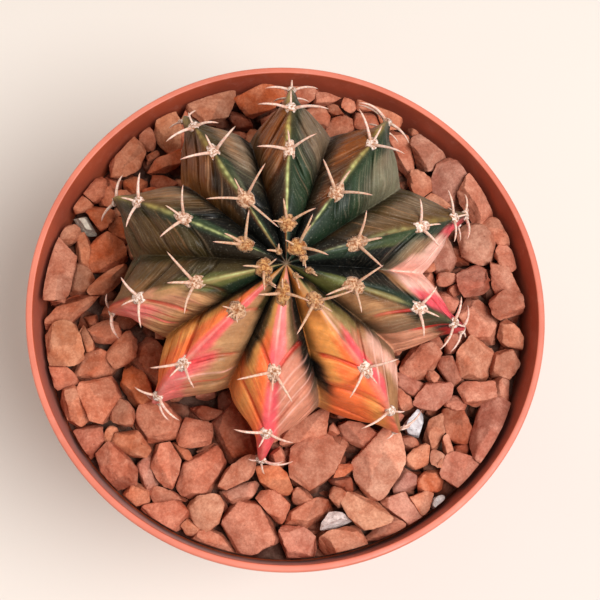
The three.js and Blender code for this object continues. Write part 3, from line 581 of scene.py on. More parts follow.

# colour washes over each flank, each one over those before it: colour, then from where to where along the
# crest in degrees, then from where (0, crest) to where (1, furrow) across the flank, then its strength;
# 0 is the flank towards the next rib, 1 the flank towards the one before. Their places and colours were
# chosen with a table of median colours that was measured in the photograph, zone by zone
# painted shade: the night washes darken the deep furrows and the flanks beside them, over the dark skin
# there, and so do the bark washes that reach the furrow side
WASHES = {
    (0, 0): "night 0 50 0 1 1; forest 4 60 0 .26 .9; moss 14 23 0 .26 .8; bark 26 46 .26 .55 .7; "
            "fawn 47 56 .3 1 .9; pearl 53 110 .3 1 1; rose 54 110 .06 .46 .95; forest 40 68 0 .1 .9",
    (0, 1): "moss 0 27 0 1 1; olive 0 15 0 .5 .9; olive 15 25 .3 .7 .5; bronze 23 35 0 .3 .9; "
            "fawn 25 110 .26 1 1; sand 34 48 .3 1 .9; fawn 34 46 .08 .3 .7; forest 36 70 0 .09 .9; "
            "olive 51 70 .06 .3 .85; taupe 51 110 .3 1 .6; blush 68 110 .3 1 .8; red 76 110 0 .2 .7; "
            "bark 0 62 .95 1 1",
    (1, 0): "bark 0 27 0 1 1; bronze 25 110 0 1 .95; bark 18 36 .46 .84 .9; taupe 34 50 .25 .6 .4; "
            "slate 30 48 .55 1 .6; taupe 53 110 .25 .7 .7; olive 44 110 .72 1 .9; night 0 24 .3 .8 .7",
    (1, 1): "night 0 58 .2 1 1; forest 0 110 0 .32 1; moss 25 44 .1 .34 .9; pine 14 48 .03 .3 .8; "
            "forest 10 30 .25 .6 .8; sage 52 110 .3 1 .9; fawn 54 72 .3 .75 .6; "
            "pearl 60 110 .66 1 .8; pearl 70 110 .3 1 .9; rose 72 110 .08 .26 .9",
    (2, 0): "umber 0 110 0 1 1; night 0 25 .22 1 1; bark 0 24 0 .3 .9; copper 24 34 .06 .3 .7; "
            "bark 24 46 .55 1 .85; copper 46 110 .1 .62 .9; bark 44 110 .8 1 .75",
    (2, 1): "forest 0 110 0 1 1; night 4 16 .6 1 .8; pine 36 60 .06 1 .8; slate 43 56 .4 1 .6; "
            "sage 49 110 .34 1 .35; sage 57 110 .3 1 .6; taupe 58 76 .28 .5 .5; forest 40 70 0 .1 .8",
    (3, 0): "umber 0 110 0 1 1; copper 6 16 .06 .24 .8; night 0 24 .24 1 1; bark 22 36 .14 1 .9; "
            "copper 36 48 .08 .5 .6; copper 50 110 .1 .8 .9; bronze 40 110 .78 1 .6",
    (3, 1): "forest 0 110 0 1 1; night 4 15 .4 1 1; night 14 26 .8 1 .6; pine 22 48 .08 1 .55; "
            "slate 46 60 .2 1 .95; taupe 55 110 .24 1 .95; forest 34 44 .08 .26 .7; "
            "olive 44 110 0 .16 .6",
    (4, 0): "umber 0 110 0 1 1; khaki 6 14 .05 .24 .8; night 0 28 .22 1 1; bark 24 50 .24 .66 .8; "
            "bronze 26 110 .7 1 .8; gold 44 110 .76 1 .4; copper 51 110 .3 1 .6; moss 30 44 0 .16 .6",
    (4, 1): "night 0 36 .16 1 1; forest 0 110 0 .24 1; pine 22 44 .03 .2 .9; "
            "slate 34 48 .24 .85 .95; taupe 45 110 .26 .82 1; fawn 52 110 .28 .55 .5; "
            "bronze 46 110 .05 .24 .6; sage 24 36 .08 .22 .4; bark 36 110 .82 1 .9",
    (5, 0): "bark 0 45 0 1 1; slate 8 15 .1 .5 .6; olive 34 110 .2 1 1; bronze 46 110 .26 1 .8; "
            "forest 14 48 0 .2 .8; olive 48 110 0 .2 .7",
    (5, 1): "night 0 45 .2 1 1; pine 8 46 0 .24 .95; bronze 43 110 0 .82 .9; taupe 53 110 .3 .75 .6; "
            "fawn 54 110 .1 .6 .5; bark 40 110 .78 1 .9",
    (6, 0): "forest 0 34 .24 1 1; khaki 0 34 0 .26 .95; moss 10 34 .2 .46 .9; olive 28 38 .5 1 .8; "
            "sand 34 110 0 1 1; blush 40 110 .16 .62 .6; pink 58 110 .06 .46 .75; "
            "fawn 40 110 .84 1 .7; bark 0 44 .95 1 .9",
    (6, 1): "olive 0 110 0 1 1; night 0 15 .3 1 1; bark 14 44 .66 1 .7; khaki 0 42 0 .09 .9; "
            "moss 20 36 .06 .26 .7; bronze 40 110 .06 .78 .9; fawn 56 110 .1 .4 .4; "
            "sand 44 58 0 .08 .8",
    (7, 0): "sand 0 110 0 1 1; forest 0 14 .3 1 1; fawn 10 36 .26 .8 .8; olive 12 24 .64 1 1; "
            "bark 20 34 .84 1 .6; rose 8 44 0 .24 .8; rose 44 60 .02 .45 .85; pink 55 110 0 .3 .85; "
            "salmon 50 110 .3 .5 .6; fawn 44 110 .5 1 .6",
    (7, 1): "gold 0 110 0 1 1; copper 8 15 .24 .5 .8; night 0 23 .44 1 1; flame 14 110 .12 .5 .75; "
            "umber 20 32 .46 .72 .8; amber 50 110 .5 .8 .7; bark 14 48 .7 1 .95; "
            "copper 44 56 .76 1 .9; rose 6 110 0 .15 .7",
    (8, 0): "salmon 0 110 0 1 1; khaki 10 32 .34 .6 .6; olive 8 36 .48 .72 .95; night 0 54 .68 1 1; "
            "bark 50 70 .8 1 .8; pink 4 34 0 .3 .9; rose 40 110 0 .16 .9; blush 44 110 .42 .75 .4; "
            "taupe 62 110 .8 1 .7",
    (8, 1): "gold 0 110 0 1 1; amber 4 16 .24 .5 .9; khaki 10 30 .42 .6 .5; olive 8 34 .52 .76 .95; "
            "night 2 48 .7 1 1; umber 44 58 .78 1 .9; pink 4 34 0 .24 .8; flame 26 110 .08 .5 .85; "
            "amber 46 110 .3 .7 .5; flame 50 110 .6 1 .4; rose 26 34 0 .2 .8; rose 40 110 0 .13 .9",
    (9, 0): "fawn 0 110 0 1 1; night 0 14 .18 1 1; moss 4 15 .08 .24 .8; khaki 12 34 .26 .5 .8; "
            "olive 12 28 .44 .8 1; sand 14 28 0 .24 .7; moss 26 40 .5 .8 .7; night 14 42 .74 1 1; "
            "bark 40 58 .78 1 .85; rose 28 60 0 .24 .85; salmon 36 60 .26 .5 .6; "
            "pearl 48 110 .46 .8 .65; taupe 50 110 .82 1 .8",
    (9, 1): "amber 0 110 0 1 1; sand 0 14 .05 .45 .9; copper 4 14 .45 1 .8; copper 15 25 .1 1 .7; "
            "flame 30 46 .02 .26 .9; flame 44 62 .05 .5 .8; flame 58 110 .25 .84 .85; "
            "rose 26 110 0 .1 .6; night 46 74 .74 1 1; fawn 66 110 .84 1 .5",
}

# washes along the crest itself, on both its sides; the narrow pearl and blush ones of ribs 7, 8 and 9 are a
# painted highlight along the crest
CRESTS = {
    0: "khaki 24 38 .07 .7; rose 76 110 .1 .7",
    6: "sand 30 50 .09 .4; blush 44 56 .1 .7; red 58 110 .06 .5",
    7: "pearl 8 46 .035 .3; pearl 62 110 .03 .25",
    8: "pearl 6 24 .05 .6; pearl 33 50 .03 .35; blush 62 110 .03 .3",
    9: "khaki 0 13 .1 .5; pearl 14 26 .05 .5; blush 26 66 .035 .5; scar 26 28.5 .05 .9; scar 70 73 .06 .9",
}

# painted highlight: a pale lime line along the green crests: from, to, offset to the next rib's side,
# strength
LIME_HIGHLIGHTS = {0: (14, 66, 0.0, 0.16), 1: (14, 74, 0.04, 0.3), 2: (12, 80, 0.04, 0.75), 3: (8, 84, 0.05, 0.95),
              4: (9, 84, 0.04, 0.68), 5: (8, 82, 0.0, 0.7), 6: (5, 28, 0.02, 0.7)}

# thin coloured folds that run from the crest to the furrow: rib, side, where they leave the crest in degrees,
# from and to across the flank, width in millimetres, colour, strength
FOLD_LINES = [
    (9, 1, 43, 0.04, 0.8, 0.5, "red", 0.9), (9, 1, 59, 0.08, 0.7, 0.3, "red", 0.6), (
        9, 1, 50, 0.1, 0.6, 0.3, "flame", 0.7
    ),
    (9, 1, 64, 0.1, 0.8, 0.35, "red", 0.7), (9, 0, 42, 0.04, 0.7, 0.4, "red", 0.7), (
        9, 0, 53, 0.05, 0.9, 0.35, "pearl", 0.8
    ),
    (9, 0, 62, 0.05, 0.9, 0.3, "pearl", 0.7), (8, 0, 34, 0.05, 0.8, 0.4, "red", 0.7),
    (8, 0, 43, 0.1, 0.9, 0.3, "pearl", 0.7),
    (8, 0, 49, 0.1, 0.9, 0.25, "pearl", 0.6), (8, 0, 55, 0.1, 0.9, 0.3, "pearl", 0.8),
    (8, 0, 64, 0.1, 0.9, 0.3, "pearl", 0.7),
    (8, 1, 34, 0.05, 0.6, 0.45, "red", 0.7), (8, 1, 49, 0.08, 0.7, 0.3, "red", 0.5),
    (8, 1, 59, 0.08, 0.8, 0.35, "red", 0.6),
    (7, 0, 22, 0.1, 0.7, 0.4, "red", 0.4), (
        7, 0, 48, 0.04, 0.85, 0.5, "red", 0.95
    ), (7, 0, 60, 0.1, 0.9, 0.3, "pearl", 0.8),
    (7, 0, 68, 0.1, 0.9, 0.35, "red", 0.6), (
        7, 1, 48, 0.05, 0.7, 0.45, "red", 0.7
    ), (7, 1, 23, 0.1, 0.6, 0.35, "scar", 0.7),
    (7, 1, 60, 0.1, 0.8, 0.3, "red", 0.5), (
        6, 0, 29, 0.05, 0.8, 0.4, "scar", 0.7
    ), (6, 0, 53, 0.05, 0.8, 0.45, "red", 0.9),
    (6, 0, 62, 0.1, 0.8, 0.35, "red", 0.7), (
        6, 0, 72, 0.1, 0.9, 0.35, "rose", 0.7
    ), (6, 0, 42, 0.2, 0.8, 0.3, "blush", 0.7),
    (0, 1, 47, 0.06, 0.75, 0.4, "red", 0.8), (0, 1, 58, 0.1, 0.8, 0.3, "scar", 0.6),
    (0, 1, 70, 0.05, 0.5, 0.4, "red", 0.9),
    (2, 1, 42, 0.2, 0.95, 0.25, "sage", 0.6), (2, 1, 55, 0.2, 0.95, 0.25, "sage", 0.6), (
        3, 1, 34, 0.2, 0.95, 0.22, "taupe", 0.7
    ),
    (3, 1, 43, 0.2, 0.95, 0.25, "taupe", 0.7), (3, 0, 43, 0.2, 0.95, 0.25, "fawn", 0.5),
    (4, 1, 38, 0.1, 0.9, 0.35, "night", 0.7),
    (4, 0, 40, 0.2, 0.95, 0.25, "fawn", 0.5), (4, 0, 52, 0.2, 0.95, 0.25, "fawn", 0.5),
    (5, 0, 33, 0.2, 0.95, 0.2, "taupe", 0.6),
    (5, 0, 45, 0.2, 0.95, 0.25, "fawn", 0.5), (5, 0, 57, 0.2, 0.95, 0.25, "fawn", 0.5),
    *[(rib, side, angle, 0.12, 0.95, 0.2, "sage" if side else "fawn", 0.5) for rib, side, angles in (
        (3, 1, (36, 43, 50, 57, 64, 72)), (2, 1, (47, 55, 61, 68, 75)), (4, 1, (40, 48, 57, 66)),
        (5, 1, (44, 52, 60)),
        (1, 1, (44, 52)), (3, 0, (41, 55, 63, 72)), (2, 0, (44, 54, 64)), (5, 0, (50, 58)),
        (1, 0, (34, 45, 55, 63)),
        (4, 0, (52, 62, 70)), (0, 1, (42, 60)), (6, 1, (50, 62))) for angle in angles],
]
LINE_STRENGTH = [0.7, 0.9, 1.0, 1.0, 1.0, 1.0, 0.8, 0.55, 0.6, 0.5]


def read_washes(text):
    for wash in text.split(";"):
        name, *numbers = wash.split()
        yield PALETTE[name], [float(number) for number in numbers]


def paint_skin(points, folds, rib, side, u, crest_arc):
    """Colour of every skin point, from the ribs' variegation, painted shade and highlights, and some noise.
    """
    wide, mid, fine = ripple(points, 7.0, 3.0), ripple(points, 2.6, 11.0), ripple(points, 0.7, 17.0)
    streak = ripple(folds * [1.1, 1, 1], 1.0, 23.0) + 0.6 * ripple(folds * [2.6, 1, 1], 1.0, 29.0)
    b = np.interp(crest_arc + 1.3 * wide + 0.5 * mid, ARC_LENGTHS, ARC_ANGLES)
    feather = np.where((rib > 5) | (rib == 0), 0.03, 0.02)
    v = u + (0.05 * wide + 0.03 * mid + feather * streak) * ease(u, 0.04, 0.3)
    colours = np.zeros((len(points), 3))
    for (index, turn), text in WASHES.items():
        here = (rib == index) & (side == turn)
        for colour, (low, high, near, far, strength) in read_washes(text):
            soft = 0.1 if near > 0.2 or far > 0.4 else 0.07
            high = high if high < 110 else 300
            weight = strength * band(b[here], low, high, 5 if 0 < index < 6 else 3.5) * band(
                v[here], near if near > 0 else -1, far if far < 1 else 2, soft
            )
            colours[here] = blend(colours[here], colour, weight[:, None])
    for index, turn, angle, near, far, width, name, strength in FOLD_LINES:
        here = (rib == index) & (side == turn)
        off = crest_arc[here] - arc_of(angle) + 0.5 * wide[here]
        weight = strength * np.exp(-((off / width) ** 2)) * band(
            u[here], near, far, 0.08
        ) * (0.8 + 0.5 * mid[here])
        colours[here] = blend(colours[here], PALETTE[name], np.clip(weight, 0, 1)[:, None])
    for index, text in CRESTS.items():
        here = rib == index
        for colour, (low, high, far, strength) in read_washes(text):
            weight = strength * band(b[here], low, high, 3) * (
                1 - ease(u[here] + 0.01 * mid[here], 0.5 * far, 1.5 * far)
            )
            colours[here] = blend(colours[here], colour, weight[:, None])
    for index, (low, high, offset, strength) in LIME_HIGHLIGHTS.items():
        here = rib == index
        signed = np.where(side[here] == 0, u[here], -u[here])
        between = np.ones(here.sum())
        for areole in RIBS[index][3]:
            gap = crest_arc[here] - arc_of(areole)
            between *= 1 - 0.85 * np.exp(-((gap / 1.6) ** 2))
        off = np.abs(signed - offset * between + 0.014 * mid[here])
        glow = 0.8 * np.exp(-((off / (0.015 + 0.03 * between)) ** 2)) + 0.26 * np.exp(-((off / 0.08) ** 2))
        weight = strength * band(b[here], low, high, 4) * between * glow * (0.85 + 0.8 * fine[here])
        colour = blend(linear((182, 190, 126)), linear((182, 158, 84)), ease(b[here], 26, 56)[:, None])
        colours[here] = blend(colours[here], colour, np.clip(weight, 0, 1)[:, None])
    return np.clip(1.14 * colours * (1 + 0.1 * wide + 0.1 * mid + 0.08 * fine + 0.05 * streak)[:, None], 0, 1)


PLEAT_PULL = 0.27


def slanted(crest_arc, u):
    """Arc that a pleat has reached at u, from its arc at the crest: an arch towards the crown."""
    pull = PLEAT_PULL * crest_arc * (1 - ease(crest_arc, 46, 62))
    return crest_arc - pull * (1 - (1 - u) ** 2.6)


def make_body():
    per_rib, parts = ((36, (14, 200, 30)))
    step = np.arange(per_rib) / per_rib
    step = step - 0.035 * np.sin(4 * np.pi * step)
    places = (np.arange(RIB_COUNT)[:, None] + step).ravel()
    stops = [arc_of(2.0), 6.0, 46.0, arc_of(LAST_ANGLE)]
    crest_arcs = np.concatenate(
        [np.linspace(a, b, n, endpoint=False) for a, b, n in zip(stops, stops[1:], parts)] + [stops[-1:]]
    )
    crest_arc, place = np.meshgrid(crest_arcs, places, indexing="ij")
    rings = len(crest_arcs)
    share = place - np.floor(place)
    u = 1 - np.abs(2 * share - 1)
    arc = slanted(crest_arc, u)
    angle = np.interp(arc, ARC_LENGTHS, ARC_ANGLES)
    rib = np.where(share < 0.5, np.floor(place), np.floor(place) + 1).astype(int) % RIB_COUNT
    side = np.where(share < 0.5, 0.0, 1.0)
    lobe, crease = np.zeros_like(angle), np.zeros_like(angle)
    for index, (_, _, _, areoles) in enumerate(RIBS):
        marks = [arc_of(a) + 0.5 for a in (*areoles, areoles[-1] + AREOLE_STEP)]
        part = np.interp(crest_arc, [0, *marks, arc_of(150)], np.arange(len(marks) + 2))
        own_lobe = np.abs(np.sin(np.pi * part)) ** 0.6
        own_crease = sum(np.exp(-(((crest_arc - mark) / 0.55) ** 2)) for mark in marks)
        lobe, crease = np.where(rib == index, own_lobe, lobe), np.where(rib == index, own_crease, crease)
    swell = 0.7 * lobe * ease(angle, 10, 30) * (1 - ease(angle, 56, 84)) * band(u, 0.1, 0.85, 0.1)
    points = skin(place, angle, swell, crest_width=0.1)
    turn = 2 * np.pi * place / RIB_COUNT
    folds = np.stack([crest_arc, 2.6 * np.cos(turn), 2.6 * np.sin(turn)], -1)
    pleats = lambda step, seed: ripple(folds * [1 / step, 1, 1], 1.0, seed).reshape(angle.shape)
    broad, narrow, beat = pleats(1.7, 0.0), pleats(0.62, 5.0), pleats(4.0, 9.0)
    flank = ease(u, 0.06, 0.3) * (1 - 0.5 * ease(u, 0.85, 1.0))
    lined = flank * ease(angle, 12, 34) * np.clip(0.75 + 0.7 * beat, 0.15, 1.2) * np.array(LINE_STRENGTH)[rib]
    depth = 0.42 * crease * ease(angle, 14, 26) * (
        1 - ease(angle, 96, 110)
    ) * ease(u, 0.03, 0.16) * (1 - ease(u, 0.8, 1.0))
    relief = lined * (0.34 * broad + 0.1 * narrow) - depth
    down = np.gradient(points, axis=0)
    around = np.roll(points, -1, 1) - np.roll(points, 1, 1)
    normal = unit(np.cross(down, around))
    points = points + relief[..., None] * normal

    flat = points.reshape(-1, 3)
    colours = paint_skin(flat, folds.reshape(-1, 3), rib.ravel(), side.ravel(), u.ravel(), crest_arc.ravel())
    rel = points[-1] - BODY_CENTRE
    azimuths = np.degrees(np.arctan2(rel @ ALONG, rel @ ACROSS))
    neck = [
        plant_point(azimuths, np.full(len(places), float(r)), np.full(len(places), float(h))) for r,
        h in NECK
    ]
    count = len(places)
    ends = [BODY_CENTRE + AXIS * (BODY_RISE - 0.35), BODY_CENTRE + AXIS * (NECK[-1][1] - 1)]
    all_points = np.concatenate([flat, *neck, ends])
    faces = grid_faces(rings + len(NECK), count).tolist()
    crown, root = len(all_points) - 2, len(all_points) - 1
    last = (rings + len(NECK) - 1) * count
    for column in range(count):
        after = (column + 1) % count
        faces.append([crown, column, after])
        faces.append([root, last + after, last + column])
    spare = len(all_points) - len(flat)
    bark = np.tile(linear((120, 92, 66)), (spare, 1))
    values = {
        "folds": np.concatenate([folds.reshape(-1, 3), np.zeros((spare, 3))]),
        "lined": np.concatenate([lined.ravel(), np.zeros(spare)]),
    }
    return make_object("cactus_body", all_points, faces, SKIN, np.concatenate([colours, bark]), values)


ride(make_body(), "cactus_skin", "cactus")

# ---------------------------------------------------------------- areoles and spines

# turn from straight down the rib, length in millimetres and rise in degrees of each spine that shows; over
# a third of the rows were printed by a fit to spine ends read in the photograph
SPINES = {
    (3, 80.5): [(-103, 4.3, 5), (95, 4.2, 5), (0, 3.0, 15)],
    (3, 56.9): [(-90, 5.1, 10), (99, 5.9, 10), (0, 3.3, 5)],
    (3, 36.0): [(-96, 5.3, 25), (63, 4.8, 25), (-6, 3.0, 25)],
    (3, 11.5): [(66, 5.1, 30), (-12, 3.8, 30), (-90, 2.5, 30)],
    (4, 65.0): [(-96, 5.1, 10), (126, 4.1, 5), (12, 2.7, 10)],
    (4, 90.0): [(-84, 2.9, 5), (102, 2.5, 10), (-20, 3.0, 0)],
    (4, 46.3): [(81, 5.2, 25), (-84, 5.5, 25), (6, 2.9, 30)],
    (4, 23.5): [(69, 6.3, 30), (-66, 6.2, 30), (3, 3.5, 30), (165, 7.2, 14)],
    (5, 90.0): [(69, 4.9, 5), (-60, 4.3, 5), (10, 2.4, 5)],
    (5, 57.3): [(75, 4.5, 15), (-102, 4.7, 15), (-9, 2.9, 15)],
    (5, 34.6): [(72, 5.2, 30), (-75, 5.0, 30), (12, 3.4, 30)],
    (5, 13.1): [(75, 5.4, 30), (-24, 5.0, 30), (0, 3.6, 30)],
    (2, 81.3): [(-105, 5.5, 0), (-118, 6.0, 8), (112, 5.2, -5), (180, 1.6, 30)],
    (2, 51.7): [(-63, 5.6, 25), (92, 5.8, 30), (-6, 3.2, 30)],
    (2, 26.4): [(-63, 5.4, 30), (72, 5.9, 30), (0, 3.9, 30)],
    (2, 5.7): [(75, 5.3, 30), (-9, 5.6, 30), (0, 4.0, 30), (-100, 2.4, 35)],
    (1, 66.5): [(-96, 4.7, 20), (129, 4.7, 20), (4, 2.4, 15)],
    (1, 84.0): [(-81, 3.5, 15), (120, 4.4, -5), (-30, 2.4, 5)],
    (1, 46.8): [(-81, 4.3, 20), (9, 3.1, 20), (72, 4.5, 20)],
    (1, 21.8): [(-60, 5.2, 30), (69, 5.9, 30), (9, 4.0, 30)],
    (6, 92.0): [(138, 4.1, 10), (-57, 5.1, -10), (-111, 4.1, 5)],
    (6, 52.0): [(66, 4.1, 20), (-90, 4.7, 15), (-12, 3.1, 10)],
    (6, 28.4): [(63, 6.4, 30), (-69, 5.4, 30), (9, 4.2, 30)],
    (6, 6.6): [(15, 3.4, 30), (-84, 4.0, 30), (160, 2.6, 30)],
    (7, 74.0): [(69, 3.9, 10), (-90, 5.1, 0)],
    (7, 95.0): [(141, 3.7, 10), (-78, 3.7, 10), (177, 2.6, 5)],
    (7, 47.5): [(36, 5.1, 10), (-87, 4.9, 35), (0, 2.9, 20)],
    (7, 20.4): [(60, 2.4, 35), (-58, 2.2, 35), (4, 2.0, 30)],
    (8, 89.0): [(105, 2.1, 5), (-78, 5.3, -10), (-110, 3.8, 0), (-18, 3.2, 25)],
    (8, 57.8): [(96, 5.1, 15), (-87, 4.4, 20), (21, 2.5, 20)],
    (8, 32.6): [(75, 6.0, 30), (-42, 5.4, 26), (-6, 2.9, 25)],
    (8, 8.4): [(78, 4.0, 30), (-78, 4.6, 30), (174, 2.4, 30)],
    (9, 64.5): [(102, 5.9, 15), (-60, 2.2, 20)],
    (9, 95.0): [(-75, 5.5, -5), (-66, 2.7, 10), (96, 2.3, 5), (-150, 3.0, 5)],
    (9, 41.9): [(72, 5.2, 25), (-75, 5.4, 25), (0, 3.0, 30)],
    (9, 13.9): [(-69, 6.2, 30), (66, 6.4, 30), (-18, 3.3, 30)],
    (0, 68.5): [(-102, 4.3, 15), (114, 5.5, 15), (0, 1.8, 20)],
    (0, 88.0): [(-63, 4.9, -10), (99, 4.1, -10), (20, 2.6, 5)],
    (0, 46.2): [(-72, 4.3, 25), (69, 4.7, 20), (6, 3.5, 20)],
    (0, 21.3): [(-54, 5.4, 30), (63, 4.8, 30), (141, 5.2, 24)],
}
HIDDEN_SPINES = [(62, 3.4, 8), (-60, 3.6, 8)]
WOOL_SIZES = {(8, 8.4): (1.05, 1.85), (9, 13.9): (1.2, 1.6), (7, 20.4): (1.35, 1.4), (0, 21.3): (1.15, 1.8),
(3, 11.5): (1.3, 1.3),
              (5, 13.1): (1.15, 1.5), (6, 6.6): (1.3, 1.3), (2, 5.7): (1.4, 1.3)}
CROWN_BUDS = [(4, 4.2, 0.45), (0, 7.0, 0.5), (1, 5.2, 0.5), (7, 7.5, 0.55), (9, 4.6, 0.4)]


def areole_frame(rib, angle):
    centre = skin(rib, angle)
    down = unit(skin(rib, angle + 1) - skin(rib, angle - 1))
    sideways = unit(np.cross(down, centre - BODY_CENTRE))
    return centre, down, sideways, np.cross(sideways, down)


def add_spine(batch, frame_here, turn, length, rise, old, rng):
    """One curved spine; old runs from 0 on a young one near the crown to 1."""
    centre, down, sideways, out = frame_here
    turn, rise = math.radians(turn), math.radians(rise)
    heading = down * math.cos(turn) + sideways * math.sin(turn)
    start = centre + 0.15 * heading - 0.2 * out
    tip = centre + length * (heading * math.cos(rise) + out * math.sin(rise))
    bow = rng.uniform(0.18, 0.28) * length
    middle = (start + tip) / 2 + bow * out + rng.uniform(-0.05, 0.05) * length * np.cross(out, heading)
    t = (np.linspace(0, 1, 13) ** 1.25)[:, None]
    path = (1 - t) ** 2 * start + 2 * t * (1 - t) * middle + t**2 * tip
    path[:, 2] = np.maximum(path[:, 2], STONE_TOP + 1.0)
    thick = rng.uniform(0.9, 1.1) * (0.2 if length < 3.6 else 0.25)
    s = t[:, 0]
    radii = thick * (1 - 0.55 * s**1.3 + 0.55 * np.exp(-s / 0.08)) * (1 - 0.85 * ease(s, 0.86, 1.0))
    points, faces = tube(path, radii, 8)
    root = linear((176, 124, 88))
    shaft = blend(linear((206, 166, 132)), linear((236, 202, 186)), old)
    point = linear((214, 168, 150))
    s = np.repeat(t, 8, 0)
    colours = blend(blend(root, shaft, ease(s, 0.0, 0.3)), point, ease(s, 0.7, 1.0))
    batch.add(points, faces, colours)


def add_wool(batch, frame_here, across, along, old, rng):
    """A felted cushion: a crumbly dome and short matted hairs."""
    centre, down, sideways, out = frame_here
    ball, faces = BALLS[3]
    form = np.array([across, along, 0.5 * across + 0.1])
    coarse = blend(0.34, 0.2, old) * ripple(ball * form, 0.9, rng.uniform(0, 50))
    crumbs = blend(0.24, 0.12, old) * ripple(ball * form, 0.36, rng.uniform(0, 50))
    lumps = 1 + coarse + crumbs
    local = ball * lumps[:, None] * form
    place = lambda p: centre + p[:, :1] * sideways + p[:, 1:2] * down + p[:, 2:] * out - 0.1 * across * out
    felt = blend(linear((202, 150, 92)), linear((252, 230, 218)), old)
    shade = 1 + blend(0.5, 0.25, old) * ripple(ball * form, 0.4, rng.uniform(0, 50))
    batch.add(place(local), faces, np.clip(felt * shade[:, None], 0, 1))
    hairs = 220
    way = unit(rng.normal(size=(hairs, 3)) * [1, 1, 0.7] + [0, 0, 0.55])
    way[:, 2] = np.abs(way[:, 2])
    foot = way * form * 0.95
    reach = rng.uniform(0.08, 0.22, hairs) * blend(1.0, 0.7, old)
    lean = unit(way + 0.9 * rng.normal(size=(hairs, 3)) * [1, 1, 0.5])
    wide = rng.uniform(0.03, 0.08, hairs)
    aside = unit(np.cross(lean, rng.normal(size=(hairs, 3))))
    third = np.cross(lean, aside)
    corners = [
        foot + aside * wide[:, None], foot - 0.5 * aside * wide[:, None] + 0.87 * third * wide[:, None],
        foot - 0.5 * aside * wide[:, None] - 0.87 * third * wide[:, None], foot + lean * reach[:, None]
    ]
    points = np.stack(corners, 1).reshape(-1, 3)
    base = 4 * np.arange(hairs)[:, None]
    faces = np.concatenate([base + [0, 1, 3], base + [1, 2, 3], base + [2, 0, 3]])
    tone = blend(
        linear((218, 170, 112)), linear((255, 238, 228)), old
    ) * rng.uniform(0.55, 1.15, hairs)[:, None]
    batch.add(place(points), faces, np.clip(np.repeat(tone, 4, 0), 0, 1))


def make_areoles():
    rng = np.random.default_rng(21)
    spines, wool = Batch(), Batch()
    for rib, (_, _, _, areoles) in enumerate(RIBS):
        more = [areoles[-1] + AREOLE_STEP * n for n in (1, 2)]
        for angle in [*areoles, *[a for a in more if a < 125 and skin(rib, a)[2] > STONE_TOP + 3.5]]:
            here = areole_frame(rib, angle)
            old = float(ease(angle, 4, 54))
            for turn, length, rise in SPINES.get((rib, angle), HIDDEN_SPINES):
                add_spine(spines, here, turn + rng.uniform(-2, 2), length, rise, old, rng)
            usual = float(blend(1.12, 0.85, float(ease(angle, 34, 66))))
            across, along = WOOL_SIZES.get(
                (rib, angle), (usual, blend(1.5, 1.05, float(ease(angle, 44, 70))) * usual)
            )
            add_wool(wool, here, across, along, old, rng)
    for rib, angle, size in CROWN_BUDS:
        here = areole_frame(rib, angle)
        add_wool(wool, here, size, 1.3 * size, 0.1, rng)
        for turn in rng.uniform(-150, 150, 2):
            add_spine(spines, here, turn, rng.uniform(1.2, 2.2), rng.uniform(15, 45), 0.0, rng)
    return spines.build("spines", SPINE), wool.build("areole_wool", WOOL)


for piece in make_areoles():
    ride(piece, "cactus_skin", "cactus")
